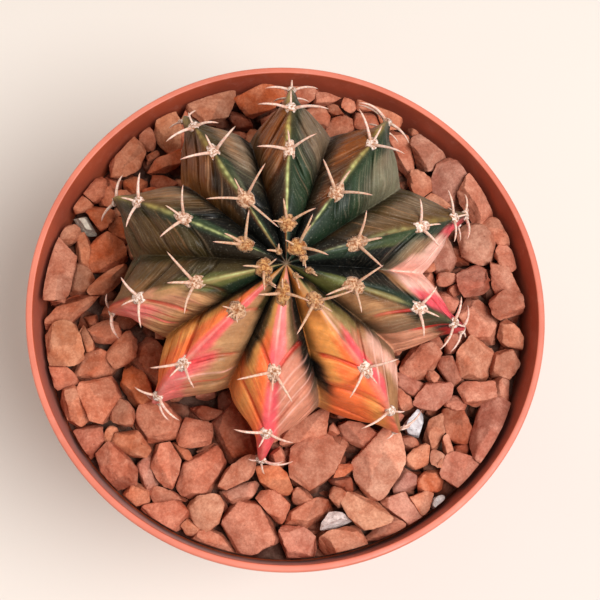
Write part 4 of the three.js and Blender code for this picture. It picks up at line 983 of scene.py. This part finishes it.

# ---------------------------------------------------------------- stones

# x, y, half length, half width, turn in degrees, height above the rest; clockwise from the far side, read
# from enlargements of the photograph
STONES = [
    (-13.2, 36.0, 4.2, 2.9, 15, 2.0), (-4.8, 37.4, 4.4, 2.4, 22, 1.5), (2.4, 38.6, 3.3, 1.5, 0, 2.0),
    (6.6, 38.6, 3.2, 1.1, 12, 1.0), (4.8, 35.6, 2.5, 2.0, -30, 0), (8.2, 36.6, 1.8, 0.9, -50, 0),
    (10.6, 37.2, 1.8, 1.2, 80, 0.3), (9.0, 34.0, 3.0, 1.9, 60, -0.3), (13.4, 37.7, 1.9, 1.6, -30, 0.5),
    (13.7, 34.6, 2.4, 1.8, -20, 0), (18.0, 35.6, 3.0, 2.0, -50, 0.6), (20.0, 29.8, 4.2, 1.8, -65, 0),
    (22.3, 33.2, 1.0, 0.8, 0, 0.2), (24.7, 30.4, 3.6, 3.4, 30, 0.3), (23.2, 23.2, 2.7, 1.9, -60, 0),
    (25.8, 20.2, 2.8, 0.9, -25, -0.3), (28.6, 24.6, 4.2, 3.4, 60, 0.6), (33.2, 20.8, 4.8, 3.2, 105, 0.4),
    (35.9, 15.0, 3.1, 1.9, -40, 0), (33.0, 12.7, 3.5, 3.1, -30, 0), (37.2, 10.2, 2.9, 1.6, -75, 0.3),
    (26.5, 10.8, 3.4, 2.4, 100, -0.4), (26.8, 6.4, 2.0, 1.3, 20, -0.3), (31.9, 6.2, 3.9, 2.1, 38, 0),
    (36.4, 6.4, 3.4, 1.7, -55, 0), (37.0, 1.9, 3.3, 2.4, 20, 0.3), (26.8, 2.4, 2.1, 1.9, 0, -0.3),
    (33.0, -0.6, 3.8, 3.2, -40, 0), (37.6, -3.2, 2.9, 1.5, -40, -0.3), (31.8, -6.9, 3.6, 3.1, 0, 0.3),
    (36.7, -8.1, 2.9, 2.1, 50, 0), (22.5, -7.8, 3.8, 2.7, 30, 0), (27.2, -9.3, 2.7, 1.5, -65, 0.2),
    (24.2, -10.6, 1.1, 0.9, -50, -0.3), (31.4, -13.0, 3.4, 1.9, 20, 0.2), (35.8, -12.3, 1.9, 1.3, 80, -0.3),
    (20.4, -11.8, 2.9, 1.3, -25, 0), (18.7, -14.3, 2.2, 1.4, -60, -0.2), (24.5, -13.8, 3.2, 2.1, 30, 0.3),
    (28.0, -15.0, 1.8, 1.0, 15, 0), (28.2, -18.7, 3.3, 1.8, -65, -0.6), (33.4, -19.4, 6.0, 2.9, 68, 0.8),
    (24.8, -19.4, 3.0, 1.6, 75, 0.2), (20.2, -21.4, 1.7, 0.9, -20, -0.3), (26.5, -22.4, 2.1, 0.8, -80, -0.2),
    (21.5, -23.8, 2.3, 1.8, 40, 0), (24.8, -24.1, 1.7, 1.3, -35, 0), (27.8, -25.6, 3.6, 2.4, -20, 0.4),
    (28.8, -22.6, 1.5, 1.0, 0, -0.6), (23.2, -27.7, 2.4, 1.6, 40, 0), (19.5, -27.8, 1.9, 1.6, 0, 0),
    (21.8, -30.7, 2.3, 1.3, 25, -0.3), (19.2, -32.2, 3.2, 2.3, -20, 0.2), (12.2, -32.4, 4.1, 2.4, -25, 0.3),
    (17.0, -35.2, 2.8, 1.1, 20, -0.2), (15.0, -25.3, 5.0, 4.2, 50, 0.6), (5.5, -24.6, 6.3, 3.5, 47, 0.6),
    (12.0, -20.0, 3.6, 1.5, -15, -0.6), (3.0, -19.4, 4.2, 1.4, 25, -1.2), (9.2, -26.2, 2.0, 0.9, 30, -0.6),
    (9.4, -28.2, 1.5, 0.9, -15, -0.8), (8.3, -30.2, 1.5, 1.3, 60, 0), (2.5, -30.2, 1.7, 1.1, -20, -0.2),
    (-1.8, -31.6, 3.0, 1.9, -30, 0), (3.6, -32.7, 4.1, 1.8, 20, 0), (8.7, -36.7, 3.6, 1.9, -8, 0.6),
    (1.8, -37.2, 3.4, 2.2, -30, 0.2), (-5.8, -35.1, 4.8, 3.4, -38, 0.6), (-11.8, -37.3, 2.9, 1.3, -25, -0.3),
    (-15.3, -35.5, 1.8, 1.0, -35, -0.3), (-13.2, -32.9, 2.9, 2.6, -30, 0), (-19.0, -33.0, 3.4, 2.0, -22, 0),
    (-19.6, -30.2, 2.3, 1.0, -15, -0.2), (-14.2, -26.4, 4.8, 3.0, 48, 0.4), (-8.0, -26.8, 3.6, 1.5, 45, 0),
    (-7.2, -29.5, 2.4, 1.4, 30, -0.3), (-1.6, -27.6, 3.0, 1.9, -40, -0.3), (-8.2, -20.2, 4.3, 3.0, -55, -0.6),
    (-15.3, -20.3, 3.2, 2.3, 40, 0), (-13.2, -16.7, 2.3, 1.0, -8, -1.0), (-20.6, -18.6, 4.3, 2.9, -25, 0.2),
    (-19.4, -25.2, 3.7, 2.4, -75, 0), (-16.8, -23.3, 1.7, 0.8, -50, -0.3), (-25.2, -22.1, 3.4, 2.1, -18, 0.2),
    (-28.8, -20.9, 1.6, 0.9, 55, -0.2), (-31.8, -21.1, 2.5, 2.1, 0, 0), (-27.5, -25.6, 3.9, 2.6, -50, 0.2),
    (-22.3, -27.0, 2.4, 1.3, -70, -0.3), (-24.1, -30.0, 1.9, 1.6, 0, 0), (-30.2, -14.8, 4.0, 3.5, -50, 0.6),
    (-34.4, -15.9, 3.3, 1.7, -75, 0), (
        -26.7, -17.0, 2.7, 1.5, -55, -0.2
    ), (-24.6, -12.0, 3.3, 1.9, -60, -0.3),
    (-21.6, -8.7, 3.9, 2.0, -70, -0.6), (-27.0, -7.2, 2.7, 2.2, 40, 0), (-31.7, -9.2, 3.3, 2.5, 40, 0),
    (-36.4, -11.3, 2.6, 1.2, -40, -0.2), (-36.6, -6.0, 4.1, 3.0, -75, 0.4),
    (-33.0, -5.0, 2.2, 0.9, -75, -0.3),
    (-30.6, -3.6, 2.5, 2.0, 0, 0), (-35.7, 0.2, 4.4, 1.6, 38, 0), (-29.9, 5.2, 4.2, 1.2, 42, 0),
    (-34.2, 5.2, 2.4, 1.7, 100, 0), (-37.6, 5.8, 7.0, 2.5, 96, 2.4), (-36.6, 12.8, 2.2, 1.5, 30, 0.8),
    (-34.1, 10.1, 3.2, 1.1, -82, 0), (-30.6, 9.8, 3.8, 2.5, 75, 0.2), (-28.3, 14.3, 2.5, 1.5, -70, 0),
    (-31.3, 16.3, 2.6, 1.9, -25, 0), (-25.6, 10.8, 1.6, 1.2, -70, -0.4), (-34.9, 18.3, 2.0, 1.6, 0, 0.4),
    (-32.6, 20.9, 2.8, 1.7, 65, 0.6), (-30.3, 19.4, 2.0, 1.1, 75, 0.2), (-28.0, 19.8, 1.7, 1.1, 0, 0),
    (-26.3, 22.4, 1.9, 1.5, 60, 0), (-22.8, 20.8, 1.6, 0.8, 5, -0.4), (-21.0, 22.8, 2.4, 1.1, -10, -0.8),
    (-20.8, 26.2, 3.4, 1.2, 25, 0), (-27.5, 26.4, 4.4, 2.1, 48, 0.6), (-24.2, 30.6, 2.5, 1.1, -80, 0.4),
    (-20.6, 31.8, 4.2, 2.3, 100, 0.8), (-17.3, 32.2, 3.5, 1.4, 85, 0.3),
    (-8.5, 34.6, 2.2, 1.1, -30, -0.3), (-2.5, 34.6, 2.0, 1.3, 0, -0.2),
]
PUMICE = [
    (21.3, -18.2, 2.0, 1.5, 75, 0.3), (7.6, -34.3, 2.9, 1.3, -5, 0.2), (-34.0, 14.7, 2.2, 1.1, -40, 0.4),
    (24.4, -31.0, 1.1, 0.9, 20, 0)
]
WHITES = [(238, 234, 236), (252, 238, 232), (255, 246, 226), (240, 234, 230)]
BRICK = (204, 130, 100)
DUSTY = (198, 136, 112)
ORANGE = (212, 118, 72)
DARK = (168, 90, 58)
LIGHT = (222, 156, 124)
# painted shade: how much darker and more orange a stone's sides and the faces in the gaps to its neighbours
# are, in red, green and blue
SIDE_SHADE = np.array([0.82, 0.69, 0.6])
# the listed stones that are dustier, more orange, darker or lighter than the usual brick, by place
TINTS = [
    (
        DUSTY,
        [
            (-13.2, 36), (24.7, 30.4), (28.6, 24.6), (26.5, 10.8), (33, 12.7), (-24.2, 30.6), (-20.6, 31.8),
            (-37.6, 5.8), (-34.2, 5.2), (-36.6, 12.8), (-7.2, -29.5), (-22.3, -27), (19.5, -27.8),
            (-26.7, -17), (-36.6, -6)
        ]
    ),
    (
        ORANGE,
        [
            (-4.8, 37.4), (-20.8, 26.2), (-30.6, 9.8), (-28.3, 14.3), (-31.3, 16.3), (-26.3, 22.4),
            (-22.8, 20.8), (-24.6, -12), (23.2, -27.7), (-1.6, -27.6), (9.2, -26.2)
        ]
    ),
    # painted shade: the darker stone at (-8.2, -20.2), under the plant's ribs, is painted with its shadow
    (
        DARK,
        [
            (-8.2, -20.2), (-21.6, -8.7), (-21, 22.8), (-13.2, -16.7), (9.4, -28.2), (28.2, -18.7),
            (28.8, -22.6), (-8.5, 34.6)
        ]
    ),
    (LIGHT, [(15, -25.3), (-13.2, -32.9), (24.8, -24.1), (12.2, -32.4), (19.2, -32.2), (-25.6, 10.8)]),
]


def stone_tint(x, y, rng):
    base = BRICK
    for colour, spots in TINTS:
        if any(abs(x - a) < 0.3 and abs(y - b) < 0.3 for a, b in spots):
            base = colour
    # painted light: more orange on the left and at the back, as from warm bounced light, and paler on the
    # right, where the light comes from
    painted_glow_side = np.clip((0.5 * y - x) / 40, -1, 1)
    base = linear(base) * np.array([1.08 - 0.04 * painted_glow_side, 1.06 - 0.14 * painted_glow_side, 1.04 - 0.28 * painted_glow_side])
    return base * rng.uniform(0.9, 1.1) * np.array([1, rng.uniform(0.94, 1.06), rng.uniform(0.92, 1.08)])


def make_room():
    """Radius of the plant's skin by azimuth and height on its axis, below its widest level."""
    places, angles = np.arange(0, RIB_COUNT, 1 / 24), np.linspace(90, LAST_ANGLE, 60)
    place, angle = np.meshgrid(places, angles, indexing="ij")
    rel = skin(place, angle) - BODY_CENTRE
    x, y, h = rel @ ACROSS, rel @ ALONG, rel @ AXIS
    heights = np.linspace(-16, 0, 65)
    radius = np.array([np.interp(heights, h[i, ::-1], np.hypot(x, y)[i, ::-1]) for i in range(len(places))])
    azimuth = np.degrees(np.arctan2(y[:, 0], x[:, 0])) % 360
    order = np.argsort(azimuth)
    return azimuth[order], heights, radius[order]


ROOM_AZIMUTHS, ROOM_HEIGHTS, ROOM_RADII = make_room()


def keep_off_plant(points, margin):
    rel = points - BODY_CENTRE
    x, y, h = rel @ ACROSS, rel @ ALONG, rel @ AXIS
    azimuth, radius = np.degrees(np.arctan2(y, x)) % 360, np.maximum(np.hypot(x, y), 1e-6)
    column = np.interp(azimuth, ROOM_AZIMUTHS, np.arange(len(ROOM_AZIMUTHS)))
    row = np.interp(h, ROOM_HEIGHTS, np.arange(len(ROOM_HEIGHTS)))
    c0, r0 = column.astype(int), row.astype(int)
    c1, r1 = np.minimum(c0 + 1, len(ROOM_AZIMUTHS) - 1), np.minimum(r0 + 1, len(ROOM_HEIGHTS) - 1)
    fc, fr = column - c0, row - r0
    reach = blend(
        blend(ROOM_RADII[c0, r0], ROOM_RADII[c1, r0], fc),
        blend(ROOM_RADII[c0, r1], ROOM_RADII[c1, r1], fc), fr
    ) + margin
    push = np.where(radius < reach, reach / radius, 1.0)
    return BODY_CENTRE + (x * push)[:, None] * ACROSS + (y * push)[:, None] * ALONG + h[:, None] * AXIS


# an open gap between the stones
HOLLOW = (-12.0, 29.0)
EDGE_POWER = 90  # the higher, the sharper the edges of a broken stone
STONE_EDGE, POT_EDGE = 30, 38  # degrees from which an edge shows as a crease
DRAINS, DRAIN_CIRCLE, DRAIN_RADIUS = 6, 18, 3


class Stone:
    def __init__(self, row, rng, sink=0.0):
        x, y, self.half_length, self.half_width, turn, self.lift = row
        self.rng = rng
        self.turn = math.radians(turn)
        self.half_height = float(np.clip(0.62 * self.half_width + 0.5, 0.7, 2.8))
        self.lift += rng.uniform(-0.7, 0.7) - sink
        self.centre = np.array([x, y, STONE_TOP + self.lift - self.half_height])
        self.tilt = rng.uniform(-0.3, 0.3, 2)
        self.mark = math.sin(12.9 * x + 7.3 * y)

    def reach(self, angle):
        return np.hypot(
            self.half_length * np.cos(angle - self.turn), self.half_width * np.sin(angle - self.turn)
        )


def break_planes(rng):
    """Directions and distances of the faces that a stone broke along."""
    count = rng.integers(3, 6)
    turn = 2 * np.pi * (np.arange(count) + rng.uniform(-0.3, 0.3, count)) / count + rng.uniform(0, 6.3)
    sides = unit(np.stack([np.cos(turn), np.sin(turn), rng.uniform(-0.1, 0.4, count)], -1))
    tops = unit(np.column_stack([rng.normal(0, 0.42, (3, 2)), np.ones(3)]))
    others = unit(np.column_stack([rng.normal(0, 0.8, (3, 2)), rng.uniform(-0.5, 0.8, 3)]))
    below = unit(np.column_stack([rng.normal(0, 0.4, (2, 2)), -np.ones(2)]))
    offsets = np.concatenate(
        [rng.uniform(0.62, 0.92, count), rng.uniform(0.72, 0.95, 3), rng.uniform(0.74, 0.98, 3), [0.9, 0.9]]
    )
    return np.vstack([sides, tops, others, below]), offsets


def slant_between(stone, other):
    """How far the face between two stones leans: the higher one overhangs."""
    return 0.9 * math.tanh(1.2 * (stone.lift - other.lift)) + 0.16 * (stone.mark - other.mark)


def overlap_between(stone, other):
    """How far two neighbours reach into each other: gaps in some places, overlaps in others."""
    return -0.25 + 0.6 * abs(stone.mark + other.mark)


def stone_shape(stone, neighbours, detail, gap=0.0):
    """A many sided broken stone that keeps out of its neighbours, the pot and the plant."""
    ball, faces = BALLS[detail]
    polar = np.pi * (np.arccos(np.clip(ball[:, 2], -1, 1)) / np.pi) ** 1.25
    flat = unit(ball[:, :2]) * np.sin(polar)[:, None]
    ball = np.column_stack([flat, np.cos(polar)])
    normals, offsets = break_planes(stone.rng)
    facing = np.maximum(ball @ normals.T, 0) / offsets
    # painted light and shade: tops that face up are lighter, the sides darker and more orange, and each face
    # gets its own brightness, as lit and shaded facets
    face = facing.argmax(1)
    lit_top = ease(normals[face, 2], 0.1, 0.6)[:, None]
    tone = stone.rng.uniform(0.8, 1.1, len(normals))[face, None] * blend(SIDE_SHADE, np.ones(3), lit_top)
    reach = np.minimum((facing**EDGE_POWER).sum(1) ** (-1 / EDGE_POWER), 1.6)
    local = ball * reach[:, None] * np.array(
        [stone.half_length, stone.half_width, stone.half_height]
    ) * [1.35, 1.35, 1.12]
    cos, sin = math.cos(stone.turn), math.sin(stone.turn)
    local = np.stack(
        [local[:, 0] * cos - local[:, 1] * sin, local[:, 0] * sin + local[:, 1] * cos, local[:, 2]], -1
    )
    rough = min(stone.half_length, 3.0) / 3
    spot = local + stone.centre
    local += unit(local) * rough * (0.26 * ripple(spot, 2.6, 9.0) + 0.15 * ripple(spot, 1.1, 4.0))[:, None]
    trimmed = np.zeros(len(local))
    for other in neighbours:
        way = (other.centre - stone.centre)[:2]
        distance = np.hypot(*way)
        way = way / distance
        angle = math.atan2(way[1], way[0])
        own, theirs = stone.reach(angle), other.reach(angle)
        limit = distance * own / (own + theirs) + overlap_between(stone, other) / 2 - gap
        over = local[:, 0] * way[0] + local[:, 1] * way[1] - slant_between(stone, other) * (
            local[:, 2] - 0.5 * stone.half_height
        ) - limit
        soft = 0.06 * np.log1p(np.exp(np.clip(over / 0.06, -30, 30)))
        local[:, :2] -= soft[:, None] * way
        trimmed = np.maximum(trimmed, soft)
    # painted shade: faces cut back against a neighbour, in the gaps between stones, are darkened
    tone = tone * blend(np.ones(3), SIDE_SHADE, ease(trimmed, 0.1, 0.5)[:, None])
    local[:, 2] += local[:, :2] @ stone.tilt * np.where(local[:, 2] > 0, 1, 0.4)
    points = local + stone.centre
    points += unit(local) * rough * (
        0.06 * ripple(points, 0.7, 4.0) + 0.035 * ripple(points, 0.35, 2.0)
    )[:, None]
    radius = np.hypot(points[:, 0], points[:, 1])
    over = np.maximum(radius - (COLLAR_INSIDE - 0.45), 0)
    points[:, :2] *= ((radius - over) / np.maximum(radius, 1e-6))[:, None]
    points[:, 2] = np.minimum(points[:, 2], STONE_LIMIT)
    return keep_off_plant(points, 0.12), faces, tone


def throw(stones, rng, count, inner, outer, sizes, sink, crowd, spread=1.0):
    """Small stones thrown into what the others leave free."""
    made = []
    for _ in range(6000):
        if len(made) == count:
            break
        radius, angle, size = math.sqrt(
            rng.uniform(inner**2, outer**2)
        ), rng.uniform(0, 2 * math.pi), rng.uniform(*sizes)
        x, y = radius * math.cos(angle), radius * math.sin(angle)
        if math.hypot(x - HOLLOW[0], y - HOLLOW[1]) < 4:
            continue
        near = [s for s in stones + made if abs(s.centre[0] - x) < 9 and abs(s.centre[1] - y) < 9]
        if all(
            np.hypot(x - s.centre[0], y - s.centre[1]) > crowd * s.reach(
                math.atan2(y - s.centre[1], x - s.centre[0])
            ) + 0.8 * size for s in near
        ):
            made.append(
                Stone(
                    (x, y, size, size * rng.uniform(0.6, 0.95), rng.uniform(0, 180), 0.0), rng,
                    sink + rng.uniform(0, spread)
                )
            )
    return made


def near_to(stone, stones):
    return [
        s for s in stones if s is not stone and np.hypot(
            *(s.centre - stone.centre)[:2]
        ) < 12 and np.hypot(*(s.centre - stone.centre)[:2]) > 0.5
    ]


def make_stones():
    rng = np.random.default_rng(5)
    listed = [Stone(row, np.random.default_rng(100 + i)) for i, row in enumerate(STONES)]
    lumps = [Stone(row, np.random.default_rng(900 + i)) for i, row in enumerate(PUMICE)]
    fillers = throw(listed + lumps, rng, 90, 17, COLLAR_INSIDE - 1.6, (0.9, 1.8), 0.7, 0.78)
    top = listed + lumps + fillers
    batches = {name: Batch() for name in ("stones_near", "stones_far", "stones_small", "stones_under")}
    for stone in listed + fillers:
        big = stone.half_length > 2.85
        points, faces, tone = stone_shape(
            stone, near_to(stone, top), 3 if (not big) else 5 if stone.half_length > 3.5 else 4
        )
        name = "stones_small" if not big else "stones_near" if stone.centre[1] < -2 else "stones_far"
        batches[name].add(
            points, faces, np.clip(tone * stone_tint(stone.centre[0], stone.centre[1], rng), 0, 1)
        )
    # painted shade: the stones under the top layer are darkened
    for stone in throw([], rng, 330, 14, COLLAR_INSIDE - 1.2, (1.0, 2.0), 2.3, 0.7, 1.2):
        points, faces, tone = stone_shape(stone, [], 2)
        batches["stones_under"].add(points, faces, tone * linear(DARK) * rng.uniform(0.4, 0.8))
    pieces = [batch.build(name, STONE) for name, batch in batches.items()]
    white = []
    for index, stone in enumerate(lumps):
        points, faces, tone = stone_shape(stone, near_to(stone, top), 4, 0.5)
        batch = Batch()
        # the white stones keep a little of the painted light and shade in tone
        batch.add(points, faces, np.clip((0.8 + 0.2 * tone.mean(1))[:, None] * linear(WHITES[index]), 0, 1))
        white.append(batch.build(f"white_stone_{index + 1}", PUMICE_STONE))
    return pieces, white


def make_bed():
    """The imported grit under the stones, closed below."""
    rings, sides = 44, 200
    radii = np.linspace(0.6, COLLAR_INSIDE - 0.3, rings)
    turn = 2 * np.pi * np.arange(sides) / sides
    top = np.stack(
        [
            radii[:, None] * np.cos(turn), radii[:, None] * np.sin(turn),
            np.full((rings, sides), BED_TOP - 0.9)
        ],
        -1
    )
    top[..., 2] += (0.5 * ripple(top, 1.6, 2.0) + 0.3 * ripple(top, 0.7, 7.0)).reshape(rings, sides)
    top[..., 2] -= 2.5 * np.exp(-((np.hypot(top[..., 0] - HOLLOW[0], top[..., 1] - HOLLOW[1]) / 3.5) ** 4))
    low = [
        np.stack([r * np.cos(turn), r * np.sin(turn), np.full(sides, z)], -1) for r,
        z in ((COLLAR_INSIDE - 0.3, 56.4), (38.0, 55.8), (37.4, 52.3), (0.6, 52.3))
    ]
    points = np.concatenate([top.reshape(-1, 3), *low, [[0, 0, BED_TOP - 0.9]], [[0, 0, 52.3]]])
    faces = [f[::-1] for f in grid_faces(rings + 4, sides).tolist()]
    last = (rings + 3) * sides
    for side in range(sides):
        after = (side + 1) % sides
        faces.append([len(points) - 2, side, after])
        faces.append([len(points) - 1, last + after, last + side])
    # painted shade: the grit is coloured dark, as it lies in the shade under and between the stones
    shade = linear((74, 36, 24)) * (1 + 0.5 * ripple(points, 1.1, 3.0))[:, None]
    return make_object("grit_bed", points, faces, STONE, np.clip(shade, 0, 1))


def sharpen(mesh, degrees):
    """Marks edges sharper than this as creases in the shading."""
    work = bmesh.new()
    work.from_mesh(mesh)
    for edge in work.edges:
        edge.smooth = len(edge.link_faces) == 2 and edge.calc_face_angle(0) < math.radians(degrees)
    work.to_mesh(mesh)
    work.free()


pieces, white_stones = make_stones()
for piece in [*pieces, *white_stones]:
    sharpen(piece.data, STONE_EDGE)
for piece in [*pieces, make_bed()]:
    ride(piece, "crushed_brick", "gravel")
for number, piece in enumerate(white_stones, 1):
    ride(piece, "pumice", f"pumice_{number}")

# ---------------------------------------------------------------- pot


def wall_inside(height):
    return blend(30.5, 39.6, (height - 0.6) / 53.4) - 1.5


def arc_points(centre, radius, start, stop, count):
    angles = np.radians(np.linspace(start, stop, count))
    return [(centre[0] + radius * math.cos(a), centre[1] + radius * math.sin(a)) for a in angles]


def make_pot():
    profile = [(0.01, 2.0), (9, 2.0), (18, 2.0), (26.5, 2.0)]
    profile += arc_points((26.9, 1.6), 0.4, 90, 20, 4) + arc_points((27.6, 0.3), 0.3, 200, 270, 4)
    profile += arc_points((29.7, 0.6), 0.6, 270, 360, 6)
    profile += [(blend(30.5, 39.6, (z - 0.6) / 53.4), z) for z in (1.4, 5, 12, 20, 28, 36, 44, 50, 53.6)]
    profile += arc_points((39.9, 53.8), 0.2, 180, 90, 3) + arc_points((41.5, 54.5), 0.5, 270, 360, 5)
    profile += [(42.08, 56.5), (42.2, 59), (42.34, 62), (42.44, 63.6)]
    profile += arc_points((42.1, 64.6), 0.4, 0, 90, 6) + arc_points((41.62, 64.72), 0.28, 90, 180, 6)
    profile += [
        (41.24, 63.8), (41.08, 62), (40.8, 59), (40.55, 56.6), (40.4, 56.1), (39.6, 55.7), (38.5, 55.5)
    ]
    profile += [(wall_inside(z), z) for z in (54.6, 50, 40, 30, 20, 10, 5.2)] + [
        (wall_inside(3.5) - 0.6, 4.0), (wall_inside(3.5) - 1.5, 3.5), (18, 3.5), (0.01, 3.5)
    ]
    sides = 224
    turn = 2 * np.pi * np.arange(sides) / sides
    radius, height = np.array(profile).T
    points = np.stack(
        [
            radius[:, None] * np.cos(turn), radius[:, None] * np.sin(turn),
            np.repeat(height[:, None], sides, 1)
        ],
        -1
    )
    faces = grid_faces(len(profile), sides)[:, ::-1].tolist()
    count = len(profile) * sides
    faces.append(list(range(sides))[::-1])
    faces.append(list(range(count - sides, count)))
    # painted shade: the lip's inner edge, the inner wall and the floor inside are painted darker, as they lie
    # in shade
    inside = ((np.arange(len(profile)) > profile.index((41.24, 63.8)) - 4) & (radius > 0)).astype(float)
    paint = blend(linear((216, 122, 99)), linear((180, 78, 42)), np.repeat(inside, sides)[:, None])
    pot = make_object("pot_shell", points.reshape(-1, 3), faces, POT, paint)
    cutter_mesh = bmesh.new()
    for index in range(DRAINS):
        angle = 2 * math.pi * (index + 0.5) / DRAINS
        spot = Matrix.Translation(
            (DRAIN_CIRCLE * MM * math.cos(angle), DRAIN_CIRCLE * MM * math.sin(angle), 2.7 * MM)
        )
        bmesh.ops.create_cone(
            cutter_mesh, cap_ends=True, segments=40, radius1=DRAIN_RADIUS * MM, radius2=DRAIN_RADIUS * MM,
            depth=6 * MM, matrix=spot
        )
    mesh = bpy.data.meshes.new("drains")
    cutter_mesh.to_mesh(mesh)
    cutter = bpy.data.objects.new("drains", mesh)
    bpy.context.scene.collection.objects.link(cutter)
    cut = pot.modifiers.new("drains", "BOOLEAN")
    cut.operation, cut.object, cut.solver = "DIFFERENCE", cutter, "EXACT"
    bpy.context.view_layer.update()
    done = bpy.data.meshes.new_from_object(pot.evaluated_get(bpy.context.evaluated_depsgraph_get()))
    pot.modifiers.clear()
    pot.data = done
    bpy.data.objects.remove(cutter)
    pot.data.shade_smooth()
    sharpen(pot.data, POT_EDGE)
    return pot


ride(make_pot(), "pot_plastic", "pot")
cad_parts["soil"].data.materials.clear()
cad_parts["soil"].data.materials.append(SOIL)
